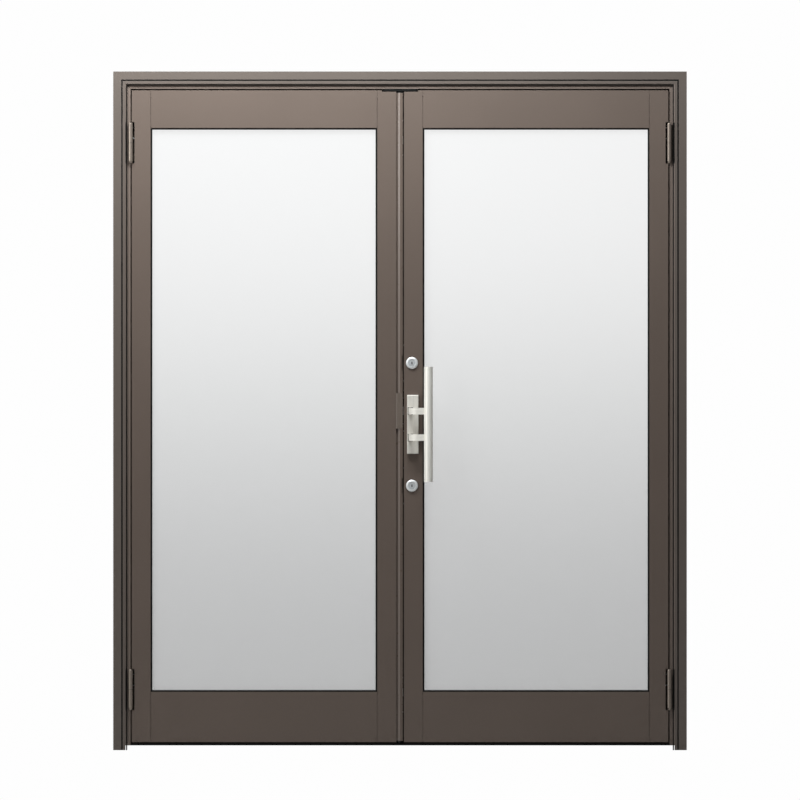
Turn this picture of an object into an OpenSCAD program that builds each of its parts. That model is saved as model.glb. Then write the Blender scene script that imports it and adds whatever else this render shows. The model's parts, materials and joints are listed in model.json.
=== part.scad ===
// Double glazed entrance door with its aluminium frame.
// Origin: centre of the threshold's underside. +X right, -Y outside (front), +Z up.

/* [Frame] */
// Overall width over the outer casing
frame_w = 1692; // [1400:1:2100]
// Height of the casing top above the threshold's underside
frame_h = 1988; // [1600:1:2500]
// Length of the casing jambs below the threshold
foot_drop = 14; // [0:1:60]
// Depth of the frame through the wall
frame_d = 70; // [66:1:100]
// Width of the outer casing profile
casing_w = 36; // [36:1:60]
// Wall of the casing profile
casing_wall = 1.8; // [1.2:0.1:3]
// Place of the shadow groove in the casing, from its outer edge
casing_groove_at = 24; // [10:1:30]
// Width of that shadow groove
casing_groove_w = 3.5; // [2:0.5:6]
// Depth of that shadow groove
casing_groove_d = 5; // [1:0.5:8]

/* [Rebate profile] */
// Width of the rebate profile, casing to leaf side
rebate_w = 15; // [15:1:24]
// Width of the bevelled lip beside the casing
lip_w = 3; // [2:0.5:4]
// Width of the deep groove beside the lip
lip_groove_w = 2.5; // [1.5:0.5:4]
// Setback of the rebate band from the front
band_setback = 8.5; // [6:0.5:12]
// Setback of the bottom of the deep groove
lip_groove_setback = 16; // [12:1:20]
// How far the door stop stands into the opening past the leaf side
stop_w = 21; // [14:1:30]
// Wall of the rebate profile
rebate_wall = 1.8; // [1.2:0.1:2.4]

/* [Threshold] */
// Thickness of the threshold under the leaves
sill_h = 5.5; // [4:0.5:8]
// Height of the threshold's stop above its underside
sill_stop_h = 24; // [16:1:30]

/* [Leaves] */
// Thickness of each leaf
leaf_t = 40; // [36:1:50]
// Setback of the leaf face from the frame front
leaf_setback = 4; // [3:0.5:5]
// Gap between jamb and leaf at the hinge side
jamb_gap = 3.7; // [3:0.1:6]
// Gap between head and leaf
head_gap = 4.5; // [3:0.1:6]
// Gap between threshold and leaf
foot_gap = 4; // [3:0.1:8]
// Gap between the right leaf and the meeting cover
meeting_gap = 3.2; // [3.2:0.1:8]
// Width of the meeting cover and the gap beside it
meeting_w = 22.6; // [22.6:0.1:26]
// Face width of the stiles
stile_w = 55.5; // [46:0.5:90]
// Face width of the top rail
top_rail_w = 111; // [70:1:160]
// Face width of the bottom rail
bottom_rail_w = 148.5; // [90:0.5:260]
// Depth of the glazing rebate behind a face
glazing_leg = 13.5; // [12:0.5:16]
// Wall of stiles and rails
leaf_wall = 2; // [1.6:0.1:2.4]
// Thickness of the glass
glass_t = 6; // [5:0.5:8]
// Setback of the glass behind the leaf face
glass_setback = 12; // [10:0.5:14]
// Visible width of the glazing gasket
gasket_w = 4.5; // [3:0.5:6]
// Gap between the stop and the back of the leaf, filled by the seal
seal_gap = 4; // [3:0.5:6]

/* [Hinges] */
// Distance of the hinge axis past the jamb's side, towards the leaf
hinge_axis_in = 0; // [0:0.5:2]
// Radius of the hinge barrel
barrel_r = 6.5; // [6:0.5:9]
// Length of the hinge barrel
barrel_l = 120; // [90:2:150]
// Radius of the hinge pin
pin_r = 4; // [3:0.5:5]
// Distance of the hinge split from the top and bottom of the leaf
hinge_end = 155; // [120:1:300]

/* [Lock side] */
// Height of the handle's middle above the threshold's underside
handle_z = 947; // [850:1:1100]
// Height of the lock cylinders above and below the handle's middle
lock_span = 181; // [150:1:220]
// Distance of the cylinders from the edge of the leaf
backset = 24; // [22:1:26]
// Length of the pull bar
bar_l = 340; // [280:5:500]
// Radius of the pull bar
bar_r = 13; // [10:0.5:15]
// Distance of the pull bar from the leaf face
bar_standoff = 52; // [46:1:60]
// Distance of the pull bar from the edge of the leaf
bar_x = 72.4; // [66:0.5:80]
// Distance between the two handle arms
arm_span = 78; // [60:1:110]
// Width of the handle plate
plate_w = 34; // [30:1:38]
// Height of the handle plate
plate_h = 173.5; // [160:0.5:220]
// Thickness of the handle plate
plate_t = 12; // [12:0.5:15]
// Throw of the deadbolts
deadbolt_throw = 19; // [15:0.5:19]
// Throw of the flush bolts
flush_throw = 14; // [12:1:16]

/* [Hidden] */
$fn = 48;
eps = 0.1;
fit = 0.05;

// Frame
y_front = -frame_d / 2;
y_back = frame_d / 2;
half_w = frame_w / 2;
side_u = casing_w + rebate_w;
stop_u = side_u + stop_w;
groove_u = casing_w + lip_w;
band_u = groove_u + lip_groove_w;
lip_groove_y = y_front + lip_groove_setback;
band_y = y_front + band_setback;
mitre_reach = stop_u + 20;

// Leaves
leaf_y0 = y_front + leaf_setback;
leaf_y1 = leaf_y0 + leaf_t;
leaf_mid_y = (leaf_y0 + leaf_y1) / 2;
stop_y = leaf_y1 + seal_gap;
hinge_edge = half_w - side_u - jamb_gap;
meet_edge = meeting_w / 2;
leaf_z0 = sill_h + foot_gap;
head_z = frame_h - side_u;
leaf_z1 = head_z - head_gap;
box_w = stile_w - glazing_leg;
leg_lip = 5;
glass_y0 = leaf_y0 + glass_setback;
glass_y1 = glass_y0 + glass_t;
edge_clearance = 4;
glass_bite = glazing_leg - edge_clearance;
gasket_bite = 5.5;
gasket_t = 5;
bead_y = glass_y1 + gasket_t;
bead_wall = 1.5;
bead_lip = 3;
block_l = 100;
block_from_end = 60;
seam = 0.9;

// Glazed opening between the faces of stiles and rails
open_x0 = meet_edge + stile_w;
open_x1 = hinge_edge - stile_w;
open_z0 = leaf_z0 + bottom_rail_w;
open_z1 = leaf_z1 - top_rail_w;

// Seals on the stops
seal_root_w = 3;
seal_root_d = 3.3;
seal_w = 7;
seal_u = side_u + 8;
seal_touch = 0.3;
seal_z = leaf_z0 + 5;

// Hinges
hinge_x = half_w - side_u - hinge_axis_in;
hinge_y = y_front;
hinge_zs = [leaf_z0 + hinge_end, leaf_z1 - hinge_end];
knuckle_l = barrel_l / 2;
split_gap = 1;
dome_h = 3;
tip_h = 7;
frame_plate_t = rebate_wall;
leaf_plate_t = 2;
plate_l = knuckle_l - 4;
plate_y0 = hinge_y + pin_r + 0.6;
neck_r = barrel_r - 0.8;
tip_r = barrel_r * 0.45;
tip_shoulder = 0.8;
dome_r = barrel_r - 1;
pin_foot_t = 3;
pin_foot = tip_h + pin_foot_t;
pin_head = dome_h + 2;
pin_play = 3;
collar_r = pin_r + 2.6;
barrel_play = 1.5;
plate_y1 = leaf_y1 - 5;
hinge_screw_y = leaf_y0 + 23;
hinge_screw_step = 32;

// Screws
screw_r = 2;
screw_head_r = 3.6;
screw_head_h = 1.2;
corner_screw_r = 2.5;
corner_head_r = 4.5;
corner_head_h = 3.5;
corner_screw_l = 42;
port_r = 5;
port_y = leaf_y1 - leaf_wall - port_r;
port_inset = 20;
port_web = 3;
access_r = 6;
joining_screws = 5;
joining_y = 0;
joining_end = 115;
joining_span = head_z - 180;
joining_screw_l = 12;
frame_hinge_screw_l = 24;
leaf_hinge_screw_l = 14;
cleat_leg = 80;
cleat_t = 5;
cleat_y0 = -20;
cleat_y1 = 24;

// Fixing holes to the wall
fix_r = 4.5;
fix_access_r = 7.5;
fix_end = 180;
fix_y = (stop_y + y_back) / 2;
fix_span = frame_h - 2 * fix_end;
fix_inner_span = fix_span / 3;
fix_mid_z = frame_h / 2;
head_fix_span = frame_w * 0.55;
fix_zs = [fix_mid_z - fix_span / 2, fix_mid_z - fix_inner_span / 2,
          fix_mid_z + fix_inner_span / 2, fix_mid_z + fix_span / 2];
head_screw_xs = [-0.8 * hinge_x, -0.3 * hinge_x, 0.3 * hinge_x, 0.8 * hinge_x];
corner_zs = [for (t = port_places(bottom_rail_w)) leaf_z0 + t,
             for (t = port_places(top_rail_w)) leaf_z1 - t];

// Meeting cover
cover_x0 = -meet_edge;
cover_x1 = meet_edge - meeting_gap;
cover_wall = 1.8;
cover_proud = 3;
cover_groove_w = 5.8;
cover_groove_d = 4;
shoulder_w = 5.5;
cover_y0 = leaf_y0 - cover_proud;
cover_end = 4;
cover_head_end = 7.5;
cap_t = 3;
cover_z0 = leaf_z0 + cover_end;
cover_z1 = leaf_z1 - cover_head_end;
rod_r = 5;
rod_x = -2;
rod_y = leaf_mid_y + 2;
rod_l = 210;
rod_setback = 0.5;
rod_head_setback = cover_head_end - cap_t;
flush_plate_l = 110;
flush_plate_t = 1;
flush_slider_h = 24;
flush_plate_w = 18;
flush_from_end = 140;
flush_plate_zs = [leaf_z0 + flush_from_end, leaf_z1 - flush_from_end];
flush_slot = flush_slider_h + flush_throw + 1;
keeper_r = 8;
keeper_flange_r = 12;
keeper_t = 1.5;
rod_play = 1;
head_block_drop = 2.6;
head_block_play = 2.8;
head_block_h = head_gap + head_block_drop;
head_block_w = 2 * (meet_edge + box_w - head_block_play);
stile_notch_room = 1.5;
stile_notch_d = head_block_drop + stile_notch_room;
head_block_inset = 2;
lug_w = 13;
lug_t = 6;
lug_from_end = 12;
plate_port_end = 8;
slider_w = 8;
slider_proud = 0.8;
slide_play = 0.2;
notch_w = 3;
notch_h = 44;
notch_d = 2;
window_play = 1;
window_end_play = 2;
flap_t = 1.4;
flap_lap = 6;
flap_slot_x = cover_x0 + 10;
flap_slot_w = 2;
flap_root_t = 1;
flap_seat_x = cover_x0 + 4;
flap_z0 = max(cover_z0, seal_z + seal_w / 2) + 2;
flap_z1 = frame_h - seal_u - seal_w / 2 - 2;

// Latch and locks
lock_zs = [handle_z + lock_span, handle_z - lock_span];
lock_x = meet_edge + backset;
latch_z = handle_z + arm_span / 2 + 1;
latch_throw = 12;
latch_w = 14;
latch_h = 24;
latch_y = leaf_mid_y;
case_room = 2;
case_depth = box_w - 2 * leaf_wall - case_room;
case_w = 22;
case_wall = 1.5;
latch_case_h = 110;
lock_case_h = 96;
face_margin = 10;
bolt_w = 10;
bolt_h = 32;
strike_l = 105;
strike_t = 1.2;
strike_flange_t = 1;
strike_y1 = leaf_mid_y + 13;
strike_screw_step = 38;
strike_lap = 0.7;
strike_slope = 3;
strike_bevel = 0.8;
strike_play = 0.8;
bolt_play = 0.3;
bolt_setback = 0.5;
latch_nose = 3;
latch_guide = 4;
latch_tail_room = 4.5;
latch_tail_l = case_depth - case_wall - latch_guide - latch_throw - latch_tail_room;
latch_tail_w = 8;
latch_tail_h = 12;
spindle_r = 3;
spindle_play = 1;
fork_play = 1.5;
plug_r = 6.5;
cylinder_r = 11;
ring_r = 17.7;
ring_h = 6;
rose_r = 16;
rose_h = 5;
cylinder_end_y = leaf_mid_y - case_w / 2 - 1;
keyway_w = 3;
keyway_l = 8;
keyway_d = 8;
plug_setback = 0.4;
cylinder_setback = 1;
ring_rim = 2;
rose_bore = spindle_r + 0.5;
rose_bevel = 1.5;
turn_collar_r = 11;
collar_h = 4;
grip_h = 34;
grip_w = 8;
grip_d = 14;

// Handles
pivot_x = meet_edge + 18.2;
pivot_y = leaf_y0 - plate_t / 2;
bar_cx = meet_edge + bar_x;
bar_cy = leaf_y0 - bar_standoff;
plate_x0 = meet_edge + 9.5;
arm_t = 10;
arm_h = 19.5;
slot_h = 22;
slot_left = 1.6;
slot_right = 3.5;
slot_floor = 0.5;
shaft_r = 4;
shaft_l = arm_span + 50;
elbow_r = 24;
bar_wall = 1.5;
bar_cap_h = 7.4;
bar_joint = 0.5;
bar_plug_l = 12;
plate_bevel = 2;

// ---------- helpers ----------

// Flat box given by two opposite corners
module block(a, b) {
    translate(a) cube(b - a);
}

// Rectangle given by two opposite corners
module rect(a, b) {
    translate(a) square(b - a);
}

// Cylinder along X from x0 to x1
module round_x(x0, x1, y, z, r) {
    translate([x0, y, z]) rotate([0, 90, 0]) cylinder(h = x1 - x0, r = r);
}

// Cylinder along Y from y0 to y1
module round_y(y0, y1, x, z, r) {
    translate([x, y1, z]) rotate([90, 0, 0]) cylinder(h = y1 - y0, r = r);
}

// Copy of the right side's pieces on the left
module left() {
    mirror([1, 0, 0]) children();
}

// Copy of the outside pieces on the inside of the leaf
module inside() {
    translate([0, 2 * leaf_mid_y, 0]) mirror([0, 1, 0]) children();
}

// Frame section (distance from outer edge, y) run up the right jamb
module run_up(z0, z1) {
    translate([half_w, 0, z0]) mirror([1, 0, 0]) linear_extrude(z1 - z0) children();
}

// Frame section run along the head
module run_across(x0, x1) {
    translate([x0, 0, frame_h]) rotate([0, 90, 0]) linear_extrude(x1 - x0) children();
}

// Side of the right corner mitre that belongs to the jamb
module jamb_side() {
    translate([0, y_back + 1, 0]) rotate([90, 0, 0]) linear_extrude(frame_d + 2)
        polygon([[half_w + 1, frame_h + 1], [half_w + 1, -foot_drop - 1],
                 [half_w - mitre_reach, -foot_drop - 1],
                 [half_w - mitre_reach, frame_h - mitre_reach]]);
}

// Part of the head between both mitres
module head_side() {
    translate([0, y_back + 1, 0]) rotate([90, 0, 0]) linear_extrude(frame_d + 2)
        polygon([[half_w + 1, frame_h + 1], [half_w - mitre_reach, frame_h - mitre_reach],
                 [mitre_reach - half_w, frame_h - mitre_reach], [-half_w - 1, frame_h + 1]]);
}

// Rectangular ring around the glazed opening, out and in from its edge
module opening_ring(out, in, y0, y1) {
    difference() {
        opening_block(out, y0, y1);
        opening_block(-in, y0 - 1, y1 + 1);
    }
}

// Block over the glazed opening, grown by d on every side
module opening_block(d, y0, y1) {
    block([open_x0 - d, y0, open_z0 - d], [open_x1 + d, y1, open_z1 + d]);
}

// ---------- frame ----------

// Outer casing: a tube with a shadow groove in its face
module casing_section() {
    w = casing_wall;
    g0 = casing_groove_at;
    g1 = casing_groove_at + casing_groove_w;
    difference() {
        rect([0, y_front], [casing_w, y_back]);
        rect([g0, y_front - 1], [g1, y_front + casing_groove_d]);
        difference() {
            rect([w, y_front + w], [casing_w - w, y_back - w]);
            rect([g0 - w, y_front], [g1 + w, y_front + casing_groove_d + w]);
        }
    }
}

// Rebate profile: bevelled lip, deep groove, set back band and door stop
module rebate_section() {
    w = rebate_wall;
    root0 = seal_u - seal_root_w / 2;
    root1 = seal_u + seal_root_w / 2;
    difference() {
        union() {
            polygon([[casing_w, y_front], [groove_u, y_front + lip_w],
                     [groove_u, lip_groove_y + eps], [casing_w, lip_groove_y + eps]]);
            rect([casing_w, lip_groove_y], [side_u, y_back]);
            rect([band_u, band_y], [side_u, lip_groove_y + eps]);
            rect([side_u - eps, stop_y], [stop_u, y_back]);
        }
        rect([casing_w + w, lip_groove_y + w], [side_u - w, y_back - w]);
        rect([band_u + w, band_y + w], [side_u - w, lip_groove_y + w + eps]);
        difference() {
            rect([side_u - w - eps, stop_y + w], [stop_u - w, y_back - w]);
            rect([root0 - w, stop_y], [root1 + w, stop_y + seal_root_d + fit + w]);
        }
        rect([root0 - fit, stop_y - 1], [root1 + fit, stop_y + seal_root_d + fit]);
    }
}

// Seal's root in the stop's groove
module seal_root(u) {
    rect([u - seal_root_w / 2, stop_y], [u + seal_root_w / 2, stop_y + seal_root_d]);
}

// Seal's hollow bulb against the leaf
module seal_bulb(u) {
    difference() {
        rect([u - seal_w / 2, leaf_y1 + seal_touch], [u + seal_w / 2, stop_y]);
        rect([u - seal_w / 2 + 1, leaf_y1 + seal_touch + 1], [u + seal_w / 2 - 1, stop_y - 1]);
    }
}

// Heights of the screws that join the rebate jamb to the casing
function joining_z(i) = joining_end + i * joining_span / (joining_screws - 1);

module casing_jamb() {
    difference() {
        intersection() {
            run_up(-foot_drop, frame_h) casing_section();
            jamb_side();
        }
        for (z = fix_zs) {
            round_x(half_w - casing_wall - 1, half_w + 1, fix_y, z, fix_r);
            round_x(half_w - casing_w - 1, half_w - casing_w + casing_wall + 1, fix_y, z, fix_access_r);
        }
        for (i = [0:joining_screws - 1])
            round_x(half_w - casing_w - 1, half_w - casing_w + casing_wall + 1,
                  joining_y, joining_z(i), screw_r + fit);
        for (z = hinge_zs, k = [-1, 1])
            round_x(half_w - casing_w - 1, half_w - casing_w + casing_wall + 1,
                  hinge_screw_y, hinge_screw_z(z, -1, k), screw_r + fit);
    }
}

module casing_head_bar() {
    difference() {
        intersection() {
            run_across(-half_w, half_w) casing_section();
            head_side();
        }
        for (s = [-1, 1]) translate([s * head_fix_span / 2, fix_y, 0]) {
            translate([0, 0, frame_h - casing_wall - 1]) cylinder(h = casing_wall + 2, r = fix_r);
            translate([0, 0, frame_h - casing_w - 1]) cylinder(h = casing_wall + 2, r = fix_access_r);
        }
        for (x = head_screw_xs)
            translate([x, joining_y, frame_h - casing_w - 1])
                cylinder(h = casing_wall + 2, r = screw_r + fit);
    }
}

module rebate_jamb() {
    u1 = half_w - side_u;
    difference() {
        intersection() {
            run_up(0, frame_h) rebate_section();
            jamb_side();
        }
        for (z = fix_zs)
            round_x(half_w - stop_u - 1, half_w - casing_w + 1, fix_y, z, fix_access_r);
        for (i = [0:joining_screws - 1]) {
            round_x(u1 - 1, half_w - casing_w - rebate_wall - eps, joining_y, joining_z(i), access_r);
            round_x(u1 - 1, half_w - casing_w + 1, joining_y, joining_z(i), screw_r + fit);
        }
        for (z = hinge_zs) {
            // recess of the hinge's plate and slot in the bevelled lip
            block([u1 - 1, band_y - 1, z - 1 - plate_l - fit],
                  [u1 + frame_plate_t + fit, plate_y1 + fit, z - 1 + fit]);
            block([half_w - groove_u - 1, y_front - 1, z - knuckle_l],
                  [half_w - casing_w, lip_groove_y - eps, z + knuckle_l]);
            for (k = [-1, 1])
                round_x(u1 - 1, half_w - casing_w + 1, hinge_screw_y,
                      hinge_screw_z(z, -1, k), screw_r + fit);
        }
    }
}

module rebate_head_bar() {
    z0 = head_z - stop_w;
    difference() {
        intersection() {
            run_across(-half_w, half_w) rebate_section();
            head_side();
        }
        for (s = [-1, 1])
            translate([s * head_fix_span / 2, fix_y, z0 - 1])
                cylinder(h = stop_u - casing_w + 2, r = fix_access_r);
        for (x = head_screw_xs) {
            translate([x, joining_y, head_z - 1])
                cylinder(h = rebate_w - rebate_wall + 1 - eps, r = access_r);
            translate([x, joining_y, head_z - 1])
                cylinder(h = rebate_w + 2, r = screw_r + fit);
        }
        translate([rod_x, rod_y, head_z - 1]) cylinder(h = rebate_wall + 2, r = rod_r + rod_play);
    }
}

module left_casing_jamb() {
    color("#6b635b") left() casing_jamb();
}

module right_casing_jamb() {
    color("#6b635b") casing_jamb();
}

module casing_head() {
    color("#6b635b") casing_head_bar();
}

module left_rebate_jamb() {
    color("#5f574f") left() rebate_jamb();
}

module right_rebate_jamb() {
    color("#5f574f") rebate_jamb();
}

module rebate_head() {
    color("#5f574f") rebate_head_bar();
}

// Threshold: a flat tread under the leaves and a hollow stop behind them
module sill() {
    w = rebate_wall;
    x1 = half_w - side_u;
    x2 = half_w - stop_u;
    root0 = seal_z - seal_root_w / 2;
    root1 = seal_z + seal_root_w / 2;
    color("#24211f") difference() {
        union() {
            block([-x1, y_front, 0], [x1, stop_y, sill_h]);
            block([-x2, stop_y, 0], [x2, y_back, sill_stop_h]);
        }
        difference() {
            block([-x2 - 1, stop_y + w, w], [x2 + 1, y_back - w, sill_stop_h - w]);
            block([-x2 - 2, stop_y, root0 - w], [x2 + 2, stop_y + seal_root_d + fit + w, root1 + w]);
        }
        block([-x2 - 1, stop_y - 1, root0 - fit], [x2 + 1, stop_y + seal_root_d + fit, root1 + fit]);
        translate([rod_x, rod_y, -1]) cylinder(h = sill_h + 2, r = keeper_r);
        translate([rod_x, rod_y, sill_h - keeper_t]) cylinder(h = keeper_t + 1, r = keeper_flange_r);
    }
}

// Seal all round the stops, one length of rubber
module frame_seal() {
    x1 = half_w - seal_u - seal_w / 2 + eps;
    x2 = half_w - stop_u;
    color("#1a1918") {
        left() seal_jamb();
        seal_jamb();
        intersection() {
            run_across(-half_w, half_w) {
                seal_root(seal_u);
                seal_bulb(seal_u);
            }
            head_side();
        }
        translate([-x1, 0, seal_z]) rotate([0, 90, 0]) linear_extrude(2 * x1) seal_bulb(0);
        translate([-x2, 0, seal_z]) rotate([0, 90, 0]) linear_extrude(2 * x2) seal_root(0);
    }
}

module seal_jamb() {
    intersection() {
        run_up(seal_z - seal_w / 2, frame_h) {
            seal_root(seal_u);
            seal_bulb(seal_u);
        }
        jamb_side();
    }
}

// Angle brackets inside the two corners of the casing
module casing_cleats() {
    x = half_w - casing_wall - fit;
    z = frame_h - casing_wall - fit;
    color("#9a9a98") for (s = [0, 1]) mirror([s, 0, 0])
        translate([0, cleat_y1, 0]) rotate([90, 0, 0]) linear_extrude(cleat_y1 - cleat_y0) polygon([
            [x, z], [x - cleat_leg, z], [x - cleat_leg, z - cleat_t],
            [x - cleat_t, z - cleat_t], [x - cleat_t, z - cleat_leg], [x, z - cleat_leg]]);
}

// Screw along +X with its head's outer face at x
module pan_screw(x, y, z, length) {
    round_x(x, x + screw_head_h, y, z, screw_head_r);
    round_x(x + screw_head_h, x + length, y, z, screw_r);
}

// Screws that join the frame's profiles and hold the frame's hinge halves
module frame_screws() {
    seat = half_w - casing_w - rebate_wall;
    color("#b9b9b6") {
        for (s = [0, 1]) mirror([s, 0, 0]) {
            for (i = [0:joining_screws - 1])
                pan_screw(seat - screw_head_h, joining_y, joining_z(i), joining_screw_l);
            for (z = hinge_zs, k = [-1, 1])
                pan_screw(half_w - side_u, hinge_screw_y, hinge_screw_z(z, -1, k), frame_hinge_screw_l);
        }
        for (x = head_screw_xs)
            translate([x, joining_y, frame_h - casing_w - rebate_wall - screw_head_h])
                rotate([0, -90, 0]) pan_screw(0, 0, 0, joining_screw_l);
    }
}

// Block on the head that guides the upper flush bolt and covers the leaves' ends
module head_keeper() {
    z0 = head_z - head_block_h;
    color("#151413") difference() {
        block([-head_block_w / 2, leaf_y0, z0], [head_block_w / 2, leaf_y1 - head_block_inset, head_z]);
        translate([rod_x, rod_y, z0 - 1]) cylinder(h = head_block_h + 2, r = rod_r + rod_play);
    }
}

// Bush in the threshold that leads the lower flush bolt into the floor
module sill_keeper() {
    color("#c4c4c2") difference() {
        union() {
            translate([rod_x, rod_y, 0]) cylinder(h = sill_h, r = keeper_r - fit);
            translate([rod_x, rod_y, sill_h - keeper_t]) cylinder(h = keeper_t, r = keeper_flange_r - fit);
        }
        translate([rod_x, rod_y, -1]) cylinder(h = sill_h + 2, r = rod_r + rod_play);
    }
}

// ---------- hinges ----------

// Height of a hinge screw: side -1 is the frame's half, +1 the leaf's, k picks the screw
function hinge_screw_z(z, side, k) = z + side * (1 + plate_l / 2) + k * hinge_screw_step / 2;

// Lower half, fixed to the jamb, with a tapered tip
module hinge_lower(z) {
    difference() {
        union() {
            translate([hinge_x, hinge_y, z - knuckle_l + tip_h])
                cylinder(h = knuckle_l - tip_h - split_gap / 2, r = barrel_r);
            translate([hinge_x, hinge_y, z - knuckle_l]) rotate_extrude()
                polygon([[0, 0], [tip_r, 0], [neck_r, tip_h - tip_shoulder],
                         [neck_r, tip_h + eps], [0, tip_h + eps]]);
            block([half_w - side_u, plate_y0, z - 1 - plate_l],
                  [half_w - side_u + frame_plate_t, plate_y1, z - 1]);
        }
        translate([hinge_x, hinge_y, z - knuckle_l + pin_foot]) cylinder(h = barrel_l, r = pin_r);
        for (k = [-1, 1]) {
            round_x(half_w - side_u - 1, half_w - side_u + screw_head_h + fit / 10, hinge_screw_y,
                  hinge_screw_z(z, -1, k), screw_head_r + fit);
            round_x(half_w - side_u - 1, half_w - side_u + 5, hinge_screw_y,
                  hinge_screw_z(z, -1, k), screw_r + fit);
        }
    }
}

// Upper half, fixed to the leaf's edge, closed by a dome
module hinge_upper(z) {
    arc = [for (i = [0:6]) let (a = i * 15)
           [dome_r * cos(a), knuckle_l - dome_h + dome_h * sin(a)]];
    difference() {
        union() {
            translate([hinge_x, hinge_y, z + split_gap / 2])
                cylinder(h = knuckle_l - dome_h - split_gap / 2, r = barrel_r);
            translate([hinge_x, hinge_y, z]) rotate_extrude()
                polygon(concat([[0, knuckle_l - dome_h - eps], [dome_r, knuckle_l - dome_h - eps]], arc));
            block([hinge_edge, plate_y0, z + 1], [hinge_edge + leaf_plate_t, plate_y1, z + 1 + plate_l]);
        }
        translate([hinge_x, hinge_y, z - 1]) cylinder(h = knuckle_l + 1 - pin_head, r = pin_r + fit);
        for (k = [-1, 1]) {
            round_x(hinge_edge + leaf_plate_t - screw_head_h - fit / 10, hinge_edge + 5, hinge_screw_y,
                  hinge_screw_z(z, 1, k), screw_head_r + fit);
            round_x(hinge_edge - 1, hinge_edge + 5, hinge_screw_y,
                  hinge_screw_z(z, 1, k), screw_r + fit);
        }
    }
}

module frame_hinge_halves() {
    color("#57504a") for (s = [0, 1], z = hinge_zs) mirror([s, 0, 0]) hinge_lower(z);
}

// Pins with the thin collar that the upper halves turn on
module hinge_pins() {
    color("#b5b4b0") for (s = [0, 1], z = hinge_zs) mirror([s, 0, 0])
        translate([hinge_x, hinge_y, z]) {
            translate([0, 0, pin_foot - knuckle_l])
                cylinder(h = barrel_l - pin_head - pin_foot - pin_play, r = pin_r);
            translate([0, 0, -split_gap / 2]) cylinder(h = split_gap, r = collar_r);
        }
}

module left_hinge_halves() {
    color("#57504a") left() for (z = hinge_zs) hinge_upper(z);
}

module right_hinge_halves() {
    color("#57504a") for (z = hinge_zs) hinge_upper(z);
}

// ---------- leaves ----------

// Stile or rail: a tube with a leg in front of the glass (distance from edge, y)
module member_section(face_w) {
    w = leaf_wall;
    inner = face_w - glazing_leg;
    difference() {
        union() {
            rect([0, leaf_y0], [inner, leaf_y1]);
            rect([inner - eps, leaf_y0], [face_w, leaf_y0 + w]);
            rect([face_w - w, leaf_y0], [face_w, leaf_y0 + leg_lip]);
        }
        rect([w, leaf_y0 + w], [inner - w, leaf_y1 - w]);
    }
}

// Screw ports inside a rail, along its back wall
module port_sections(face_w) {
    for (t = port_places(face_w)) difference() {
        union() {
            translate([t, port_y]) circle(r = port_r);
            rect([t - port_web / 2, port_y], [t + port_web / 2, leaf_y1 - leaf_wall + eps]);
        }
        translate([t, port_y]) circle(r = corner_screw_r + fit / 2);
        rect([t - port_r - 1, leaf_y1 - leaf_wall], [t + port_r + 1, leaf_y1 + port_r]);
    }
}

function port_places(face_w) = [port_inset, face_w - glazing_leg - port_inset];

// Right leaf's stile on its hinge side, with room for the barrels
module hinge_stile() {
    difference() {
        translate([hinge_edge, 0, leaf_z0]) mirror([1, 0, 0])
            linear_extrude(leaf_z1 - leaf_z0) member_section(stile_w);
        for (z = corner_zs) {
            round_x(hinge_edge - leaf_wall - 1, hinge_edge + 1, port_y, z, access_r);
            round_x(hinge_edge - box_w - 1, hinge_edge - box_w + leaf_wall + 1,
                    port_y, z, corner_screw_r + fit);
        }
        for (z = hinge_zs) {
            block([hinge_edge - barrel_r - barrel_play, leaf_y0 - 1, z - knuckle_l - 1],
                  [hinge_edge + 1, hinge_y + barrel_r + 1, z + knuckle_l + 1]);
            for (k = [-1, 1])
                round_x(hinge_edge - leaf_wall - 1, hinge_edge + 1, hinge_screw_y,
                        hinge_screw_z(z, 1, k), screw_r + fit);
        }
    }
}

// Right leaf's stile at the meeting side, plain
module meeting_stile() {
    difference() {
        translate([meet_edge, 0, leaf_z0])
            linear_extrude(leaf_z1 - leaf_z0) member_section(stile_w);
        for (z = corner_zs) {
            round_x(meet_edge - 1, meet_edge + leaf_wall + 1, port_y, z, access_r);
            round_x(meet_edge + box_w - leaf_wall - 1, meet_edge + box_w + 1,
                    port_y, z, corner_screw_r + fit);
        }
        // the tube stops short of the leaf's top, under the head block
        block([meet_edge - 1, leaf_y0 - 1, leaf_z1 - stile_notch_d],
              [meet_edge + box_w, leaf_y1 + 1, leaf_z1 + 1]);
    }
}

// Rail between the stiles' tubes, its leg cut back to the stiles' legs
module rail(face_w) {
    x0 = meet_edge + box_w;
    x1 = hinge_edge - box_w;
    cut_y = leaf_y0 + leg_lip + eps;
    difference() {
        translate([x0, 0, 0]) rotate([0, 90, 0]) linear_extrude(x1 - x0) union() {
            member_section(face_w);
            port_sections(face_w);
        }
        block([x0 - 1, leaf_y0 - 1, -face_w - 1], [open_x0 + seam, cut_y, 1]);
        block([open_x1 - seam, leaf_y0 - 1, -face_w - 1], [x1 + 1, cut_y, 1]);
    }
}

module top_rail() {
    translate([0, 0, leaf_z1]) rail(top_rail_w);
}

module bottom_rail() {
    translate([0, 0, leaf_z0]) mirror([0, 0, 1]) rail(bottom_rail_w);
}

module glass() {
    opening_block(glass_bite, glass_y0, glass_y1);
}

module outer_gasket() {
    opening_ring(gasket_bite, gasket_w, leaf_y0 + leg_lip, glass_y0);
    opening_ring(0, gasket_w, leaf_y0 + leaf_wall, leaf_y0 + leg_lip + eps);
}

module inner_gasket() {
    opening_ring(gasket_bite, gasket_w, glass_y1, bead_y);
    opening_ring(0, gasket_w, bead_y - eps, bead_y + bead_lip);
}

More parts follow.
